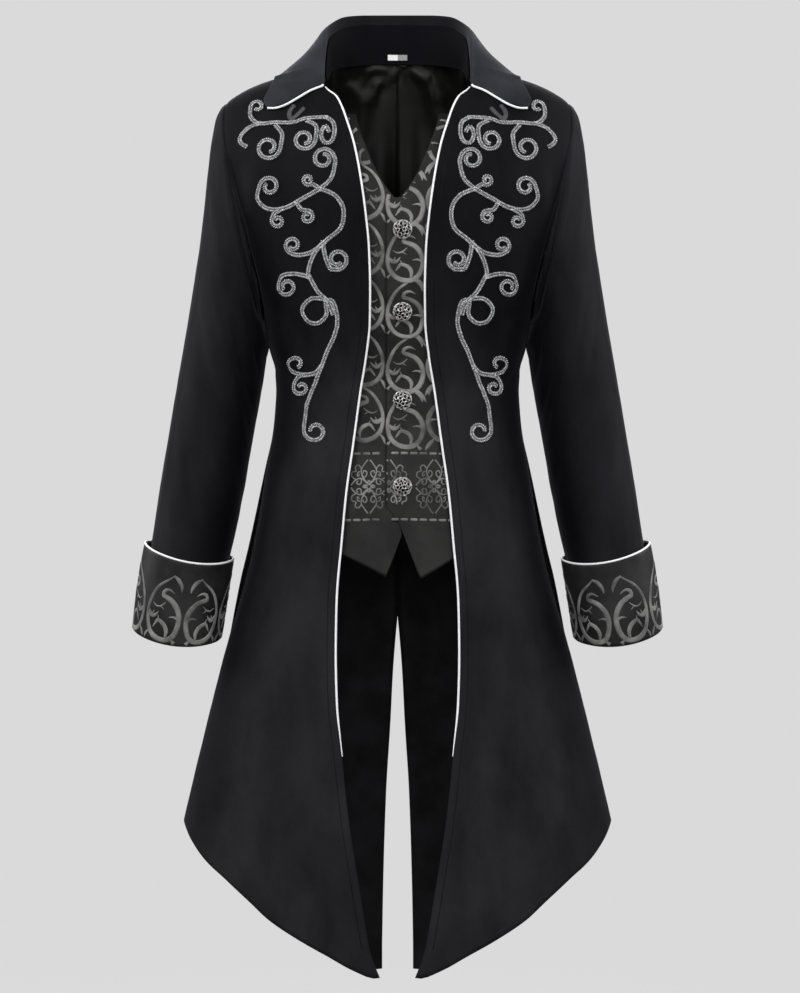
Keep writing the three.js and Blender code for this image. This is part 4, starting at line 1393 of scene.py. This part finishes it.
# strokes of one repeat about its middle: place across, place up and half width at each step
scrollStrokes = [
    [(9, 36, 0.4), (3, 31, 1.3), (-8, 23, 1.9), (-16, 12, 2.3), (-21, -2, 2.5), (-20, -17, 2.8),
     (-13, -28, 3.1), (-2, -33, 3.3), (9, -32, 3.3), (17, -25, 3.2), (21, -13, 3.2), (19, -2, 3.3),
     (12, 7, 3.2), (4, 11, 3.0), (-2, 13, 2.5), (-1, 18, 2.2), (5, 20, 1.6), (12, 17, 0.3)],
    [(-20, -7, 2.0), (-15, -11, 2.9), (-10, -10, 2.0), (-6, -5, 0.3)],
    [(-14, -10, 1.6), (-12, -5, 0.3)],
    [(6, -30, 1.2), (7, -23, 2.5), (3, -17, 2.6), (-5, -14, 2.2), (-9, -18, 1.5), (-12, -22, 0.4)],
    [(-4, -15, 1.6), (-6, -9, 0.3)],
    [(20, -10, 2.2), (14, -8, 1.3), (8, -9, 0.3)],
    [(-15, 3, 0.3), (-10, 0, 0.9), (-4, 1, 1.1), (2, 6, 0.4)],
    [(-4, 1, 0.9), (1, -2, 0.3)],
    [(7, 35, 1.0), (14, 32, 2.4), (19, 26, 2.0), (20, 20, 0.3)],
    [(14, -31, 0.8), (18, -36, 2.6), (22, -41, 2.2), (25, -46, 0.3)],
    [(-17, -25, 0.5), (-22, -31, 1.9), (-24, -38, 0.3)],
]


def strokePath(stroke, step):
    # a stroke's places and half widths, close enough together to look drawn
    fine = []
    points = [Vector(item) for item in stroke]
    span = len(points) - 1
    length = sum((b - a).xy.length for a, b in zip(points, points[1:]))
    count = max(int(length / step), 4)
    for n in range(count + 1):
        spot = curveThrough(points, min(span * n / count, span - 1e-6))
        fine.append((spot.x, spot.y, max(spot.z, 0.25)))
    return fine


motifStrokes = [strokePath(stroke, brocadeRepeat["step"]) for stroke in scrollStrokes]


def motifsOn(place, cells, inside):
    # strokes of every repeat laid on a surface by place(u, v) -> (point, face), cut where inside says
    paths = []
    for cellX, cellZ, handed in cells:
        for stroke in motifStrokes:
            run = []
            for u, v, half in stroke:
                u = cellX + (-u if handed else u)
                v = cellZ + v
                if inside(u, v):
                    point, face = place(u, v)
                    run.append((point, face, half, brocadeRepeat["height"]))
                else:
                    if len(run) > 2:
                        paths.append(run)
                    run = []
            if len(run) > 2:
                paths.append(run)
    return paths


def vestFace(x, z):
    slope = (surfaceY(x + 1, z, "front") - surfaceY(x - 1, z, "front")) / 2
    return Vector((slope, -1, 0)).normalized()


def onVest(x, z, mirror, ahead):
    # a place just proud of a waistcoat front; the mirrored one is the other's shape turned over
    face = vestFace(x, z)
    point = vestPoint(abs(x) if mirror else x, z, ahead)
    return Vector((x, point.y, z)) + face * (coat["facingWall"] / 2 + 0.1), face


def vestPlace(mirror, ahead):
    return lambda u, v: onVest(u, v, mirror, ahead)


def vestInside(over, hem):
    # where scrolls may lie: off the edges, above the upper dashes and clear of the other front
    def inside(u, v):
        x = u if over else -u
        margin = 1.5
        inner = hem[0]["x"]
        if v > vest["neckFoot"]:
            inner = max(along(vestNeckTable, "z", "x", v), inner)
        if x < inner + margin or v > -40 or x > frontEdgeX(v) + 10:
            return False
        if not over and x < 14 and v < -145:
            return False
        return v > vest["dashRows"][0] + 3
    return inside


vestCells = []
for column in (-2, -1, 0, 1, 2):
    for row in range(-1, 7):
        x = column * brocadeRepeat["across"] + brocadeRepeat["middle"]
        z = brocadeRepeat["first"] - row * brocadeRepeat["down"] + (8 if column % 2 else 0)
        vestCells.append((x, z, column % 2 == 1))

overScrolls = sweep(motifsOn(vestPlace(False, vest["overAhead"]), vestCells, vestInside(True, overHemTable)),
                    "waistcoatScrolls_over", looks["scroll"], brocadeRepeat["sides"])
dressPiece(overScrolls, "brocade")
underScrolls = sweep(motifsOn(vestPlace(True, 0), vestCells, vestInside(False, underHemTable)),
                     "waistcoatScrolls_under", looks["scroll"], brocadeRepeat["sides"])
dressPiece(underScrolls, "brocade")


def cuffScrolls(side, mirror):
    radius, motifs, depth = (brocadeRepeat[label] for label in ("cuffRadius", "cuffMotifs", "cuffDepth"))
    cells = [((n + 0.36) * 2 * math.pi * radius / motifs, brocadeRepeat["cuffHeight"], n % 2 == 0)
             for n in range(motifs)]

    def place(u, v):
        point, normal = cuffPoint(u / radius, clamp(-v / depth), coat["wall"] / 2 + 0.1)
        return flip(point, mirror), flip(normal, mirror)

    paths = motifsOn(place, cells, lambda u, v: 1 - depth < v < -4)
    if mirror:
        paths = [path[::-1] for path in paths]
    piece = sweep(paths, f"cuffScrolls_{side}", looks["scroll"], brocadeRepeat["sides"])
    dressPiece(piece, "brocade")


for side, mirror in sides:
    cuffScrolls(side, mirror)
print("scrolls ready")


trim = {
    "dash": 8.8,
    "dashHigh": 3.3,
    "dashPitch": 11.3,
    "dashFrom": -64.0,
    "dashTo": 68,
    "dashSteps": 6,
    "height": 0.35,
    "medallionHeight": -482,
    "medallions": ((-34, False), (-10, True), (43.5, True)),
}


def vestTop(x, z):
    over = x > vest["overEdge"]
    return onVest(x, z, not over, vest["overAhead"] if over else 0)


def dashes():
    paths = []
    for row in vest["dashRows"]:
        x = trim["dashFrom"]
        while x < trim["dashTo"]:
            centre = x + trim["dash"] / 2
            # none lies over the over front's edge
            if abs(centre - vest["overEdge"]) > 5:
                run = []
                for n in range(trim["dashSteps"] + 1):
                    u = x + trim["dash"] * n / trim["dashSteps"]
                    point, face = vestTop(u, row - 1.2 * abs(u) / 60)
                    taper = 1 if 0 < n < trim["dashSteps"] else 0.6
                    run.append((point, face, trim["dashHigh"] / 2 * taper, trim["height"]))
                paths.append(run)
            x += trim["dashPitch"]
    piece = sweep(paths, "waistcoatDashes", looks["scroll"], 6)
    dressPiece(piece, "brocade")


# one quarter of a lace medallion, from its middle outwards: place across, place up and half width
laceStrokes = [
    [(1.2, 32, 1.0), (5, 27, 0.8), (9, 20, 0.9), (7.5, 12, 0.9), (2.6, 4.5, 0.9)],
    [(8.6, 14.5, 0.7), (5.5, 11, 0.8), (2.6, 14, 0.8), (3.0, 18, 0.8), (6.2, 18.6, 0.8), (6.6, 15.6, 0.7)],
    [(21.5, 1.4, 1.0), (16, 7.5, 0.8), (9, 9.6, 0.9), (2.6, 4.0, 0.9)],
    [(9.4, 9.4, 0.7), (9, 4.6, 0.8), (12, 2.4, 0.8), (14.6, 4.6, 0.8), (12.6, 7.0, 0.7)],
    [(8.6, 21, 0.8), (12.5, 25.6, 0.8), (16.4, 23, 0.8), (15.4, 18.6, 0.8), (19.8, 17, 0.8), (20.4, 12, 0.8),
     (15.6, 8.4, 0.8)],
    [(11, 14.4, 0.7), (13.6, 12.2, 0.8), (13.2, 16.6, 0.8), (10.4, 17.8, 0.7)],
    [(0.4, 7.6, 0.5), (1.6, 4.6, 1.3), (0.6, 1.6, 0.9)],
    [(7.6, 0.4, 0.5), (4.6, 1.4, 1.3), (1.6, 0.6, 0.9)],
]


def medallions():
    # each quarter is laid four ways, and cut where it would pass the front's edge
    quarter = [strokePath(stroke, 1.1) for stroke in laceStrokes]
    paths = []
    for middle, over in trim["medallions"]:
        for handX, handZ in ((1, 1), (-1, 1), (1, -1), (-1, -1)):
            for stroke in quarter:
                run = []
                for x, z, half in stroke:
                    place = middle + x * handX
                    height = trim["medallionHeight"] + z * handZ
                    edge = -12.6 if height > -504 else 14
                    shown = (place > edge if over else place < -15) and abs(place) < frontEdgeX(height) + 6
                    if shown:
                        point, face = vestTop(place, height)
                        run.append((point, face, half, trim["height"]))
                        continue
                    if len(run) > 2:
                        paths.append(run)
                    run = []
                if len(run) > 2:
                    paths.append(run)
    piece = sweep(paths, "waistcoatMedallions", looks["scroll"], 6)
    dressPiece(piece, "brocade")


dashes()
medallions()
print("waistcoat trim ready")


button = {"radius": 11.6, "rise": 6.5, "ring": 2.15, "wire": 0.40, "rings": 30, "rim": 0.9, "rimSteps": 40}


def domePoint(share, turn, lift=0.0):
    # share runs from the middle, 0, to the rim, 1
    angle = share * math.pi / 2
    radius = button["radius"] * 0.93 * math.sin(angle)
    up = button["rise"] * math.cos(angle) + lift
    tilt = math.sin(angle) * 0.6
    face = Vector((tilt * math.cos(turn), -math.cos(angle), tilt * math.sin(turn)))
    return Vector((radius * math.cos(turn), -up, radius * math.sin(turn))), face.normalized()


def openworkButton(number, height):
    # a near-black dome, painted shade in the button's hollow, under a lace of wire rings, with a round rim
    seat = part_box(f"button_{number}")[1][1] / mm
    middle = Vector((vest["buttonX"], seat, height))
    verts, faces = [], []
    rings, around = 8, 28
    for i in range(rings + 1):
        for k in range(around):
            point = domePoint(max(i / rings, 0.02), 2 * math.pi * k / around)[0]
            verts.append((point * 0.88 + middle) * mm)
    for i in range(rings):
        for k in range(around):
            n = (k + 1) % around
            faces.append((i * around + k, i * around + n, (i + 1) * around + n, (i + 1) * around + k))
    faces.append([k for k in range(around)][::-1])
    faces.append([rings * around + k for k in range(around)])
    mesh = bpy.data.meshes.new(f"buttonDome_{number}")
    mesh.from_pydata([tuple(v) for v in verts], [], faces)
    mesh.materials.append(looks["recessShade"])
    mesh.polygons.foreach_set("use_smooth", [True] * len(faces))
    dome = placed(f"buttonDome_{number}", mesh)
    dressPiece(dome, "buttons", f"button_{number}")
    places = []
    golden = math.pi * (3 - math.sqrt(5))
    for n in range(button["rings"]):
        share = math.sqrt((n + 0.5) / button["rings"]) * 0.94
        point, face = domePoint(share, n * golden, 0.1)
        places.append((point + middle, Vector((1, 0, 0)), face))
    lace = scatter(f"buttonLace_{number}", places, ringTree, button["ring"], 1, button["wire"],
                   looks["silver"], seed=number)
    dressPiece(lace, "buttons")
    rim = []
    for k in range(button["rimSteps"]):
        turn = 2 * math.pi * k / button["rimSteps"]
        out = Vector((math.cos(turn), 0, math.sin(turn))) * (button["radius"] - button["rim"])
        rim.append((out + Vector((0, -1, 0)) + middle, Vector((0, -1, 0)), button["rim"], button["rim"]))
    edge = sweep([rim], f"buttonRim_{number}", looks["silver"], 8, closed=True)
    dressPiece(edge, "buttons")


for number, height in enumerate(vest["buttonHeights"], 1):
    openworkButton(number, height)
print("buttons ready")


def neckLabel():
    low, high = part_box("neck_label")
    verts, faces = [], []
    for half, (left, right) in enumerate(((low[0], 0.0003), (0.0003, high[0]))):
        start = len(verts)
        for x in (left, right):
            for y in (low[1], high[1]):
                for z in (low[2], high[2]):
                    verts.append((x, y + 0.0002 * half, z))
        faces += [[start + n for n in face] for face in
                  ((0, 1, 3, 2), (4, 6, 7, 5), (0, 4, 5, 1), (2, 3, 7, 6), (0, 2, 6, 4), (1, 5, 7, 3))]
    mesh = bpy.data.meshes.new("neckLabel")
    mesh.from_pydata(verts, [], faces)
    mesh.materials.append(looks["label"])
    mesh.materials.append(looks["labelGrey"])
    mesh.polygons.foreach_set("material_index", [0] * 6 + [1] * 6)
    piece = placed("neckLabel", mesh)
    bevel = piece.modifiers.new("soft", "BEVEL")
    bevel.width = 0.0002
    dressPiece(piece, "label", "neck_label")


neckLabel()


viewpoint = {"distance": 5.5, "aim": (0.003, -0.06, -0.4938), "width": 0.96, "sensor": 36.0}


def setCamera():
    data = bpy.data.cameras.new("camera")
    data.sensor_fit = "HORIZONTAL"
    data.sensor_width = viewpoint["sensor"]
    data.lens = viewpoint["sensor"] * viewpoint["distance"] / viewpoint["width"]
    data.clip_end = 60
    eye = bpy.data.objects.new("camera", data)
    x, y, z = viewpoint["aim"]
    eye.location = (x, y - viewpoint["distance"], z)
    eye.rotation_euler = (math.pi / 2, 0, 0)
    scene.collection.objects.link(eye)
    scene.camera = eye


backdrop = {
    "pale": (0.70, 0.70, 0.70),
    "ambient": (0.16, 0.16, 0.165),
    "radius": 14.0,
    "floor": -1.22,
    "sides": 64,
}

lights = table(
    "name place aim size power",
    ("key", (-1.9, -2.6, 2.0), (0, 0, -0.45), 1.6, 95),
    ("fill", (2.2, -2.9, 1.2), (0, 0, -0.5), 2.2, 70),
    ("front", (0.0, -4.2, 0.2), (0, 0, -0.6), 2.4, 45),
    ("leftEdge", (-2.6, 0.5, 0.9), (0, 0, -0.4), 1.6, 60),
    ("rightEdge", (2.6, 0.5, 0.9), (0, 0, -0.4), 1.6, 60),
    ("back", (0.0, 3.2, 1.4), (0, 0, -0.4), 2.2, 80),
)


def setLights():
    for row in lights:
        data = bpy.data.lights.new(row["name"], "AREA")
        data.size = row["size"]
        data.energy = row["power"]
        lamp = bpy.data.objects.new(row["name"], data)
        lamp.location = row["place"]
        lamp.rotation_euler = (Vector(row["aim"]) - Vector(row["place"])).to_track_quat("-Z", "Y").to_euler()
        scene.collection.objects.link(lamp)
    world = bpy.data.worlds.new("studio")
    world.use_nodes = True
    tree = world.node_tree
    seen = tree.nodes["Background"]
    seen.inputs["Color"].default_value = (*backdrop["pale"], 1)
    dim = tree.nodes.new("ShaderNodeBackground")
    dim.inputs["Color"].default_value = (*backdrop["ambient"], 1)
    path = tree.nodes.new("ShaderNodeLightPath")
    blend = tree.nodes.new("ShaderNodeMixShader")
    tree.links.new(path.outputs["Is Camera Ray"], blend.inputs["Fac"])
    tree.links.new(dim.outputs[0], blend.inputs[1])
    tree.links.new(seen.outputs[0], blend.inputs[2])
    tree.links.new(blend.outputs[0], tree.nodes["World Output"].inputs["Surface"])
    scene.world = world
    scene.view_settings.view_transform = "Standard"


def setFloor():
    # a pale disc that fades into the backdrop, so no horizon shows
    turns = [2 * math.pi * k / backdrop["sides"] for k in range(backdrop["sides"])]
    verts = [(backdrop["radius"] * math.cos(turn), backdrop["radius"] * math.sin(turn), backdrop["floor"])
             for turn in turns]
    mesh = bpy.data.meshes.new("studioFloor")
    mesh.from_pydata(verts, [], [list(range(backdrop["sides"]))])
    floor = placed("studioFloor", mesh)
    pale = Shader("paleFloor", Base_Color=(0.5, 0.5, 0.5, 1), Roughness=0.95, Specular_IOR_Level=0.0)
    far = pale.node("ShaderNodeVectorMath", {"Vector": pale.coords()}, operation="LENGTH").outputs["Value"]
    share = pale.node("ShaderNodeMapRange", {"Value": far, "From Min": 0.4, "From Max": 2.2},
                      interpolation_type="SMOOTHSTEP").outputs["Result"]
    glow = pale.node("ShaderNodeEmission", {"Color": (*backdrop["pale"], 1)})
    path = pale.node("ShaderNodeLightPath")
    pale.tree.links.new(path.outputs["Is Camera Ray"], glow.inputs["Strength"])
    blend = pale.node("ShaderNodeMixShader", {"Fac": share})
    pale.tree.links.new(pale.skin.outputs[0], blend.inputs[1])
    pale.tree.links.new(glow.outputs[0], blend.inputs[2])
    pale.tree.links.new(blend.outputs[0], pale.tree.nodes["Material Output"].inputs["Surface"])
    mesh.materials.append(pale.material)


setCamera()
setLights()
setFloor()
print("studio ready")
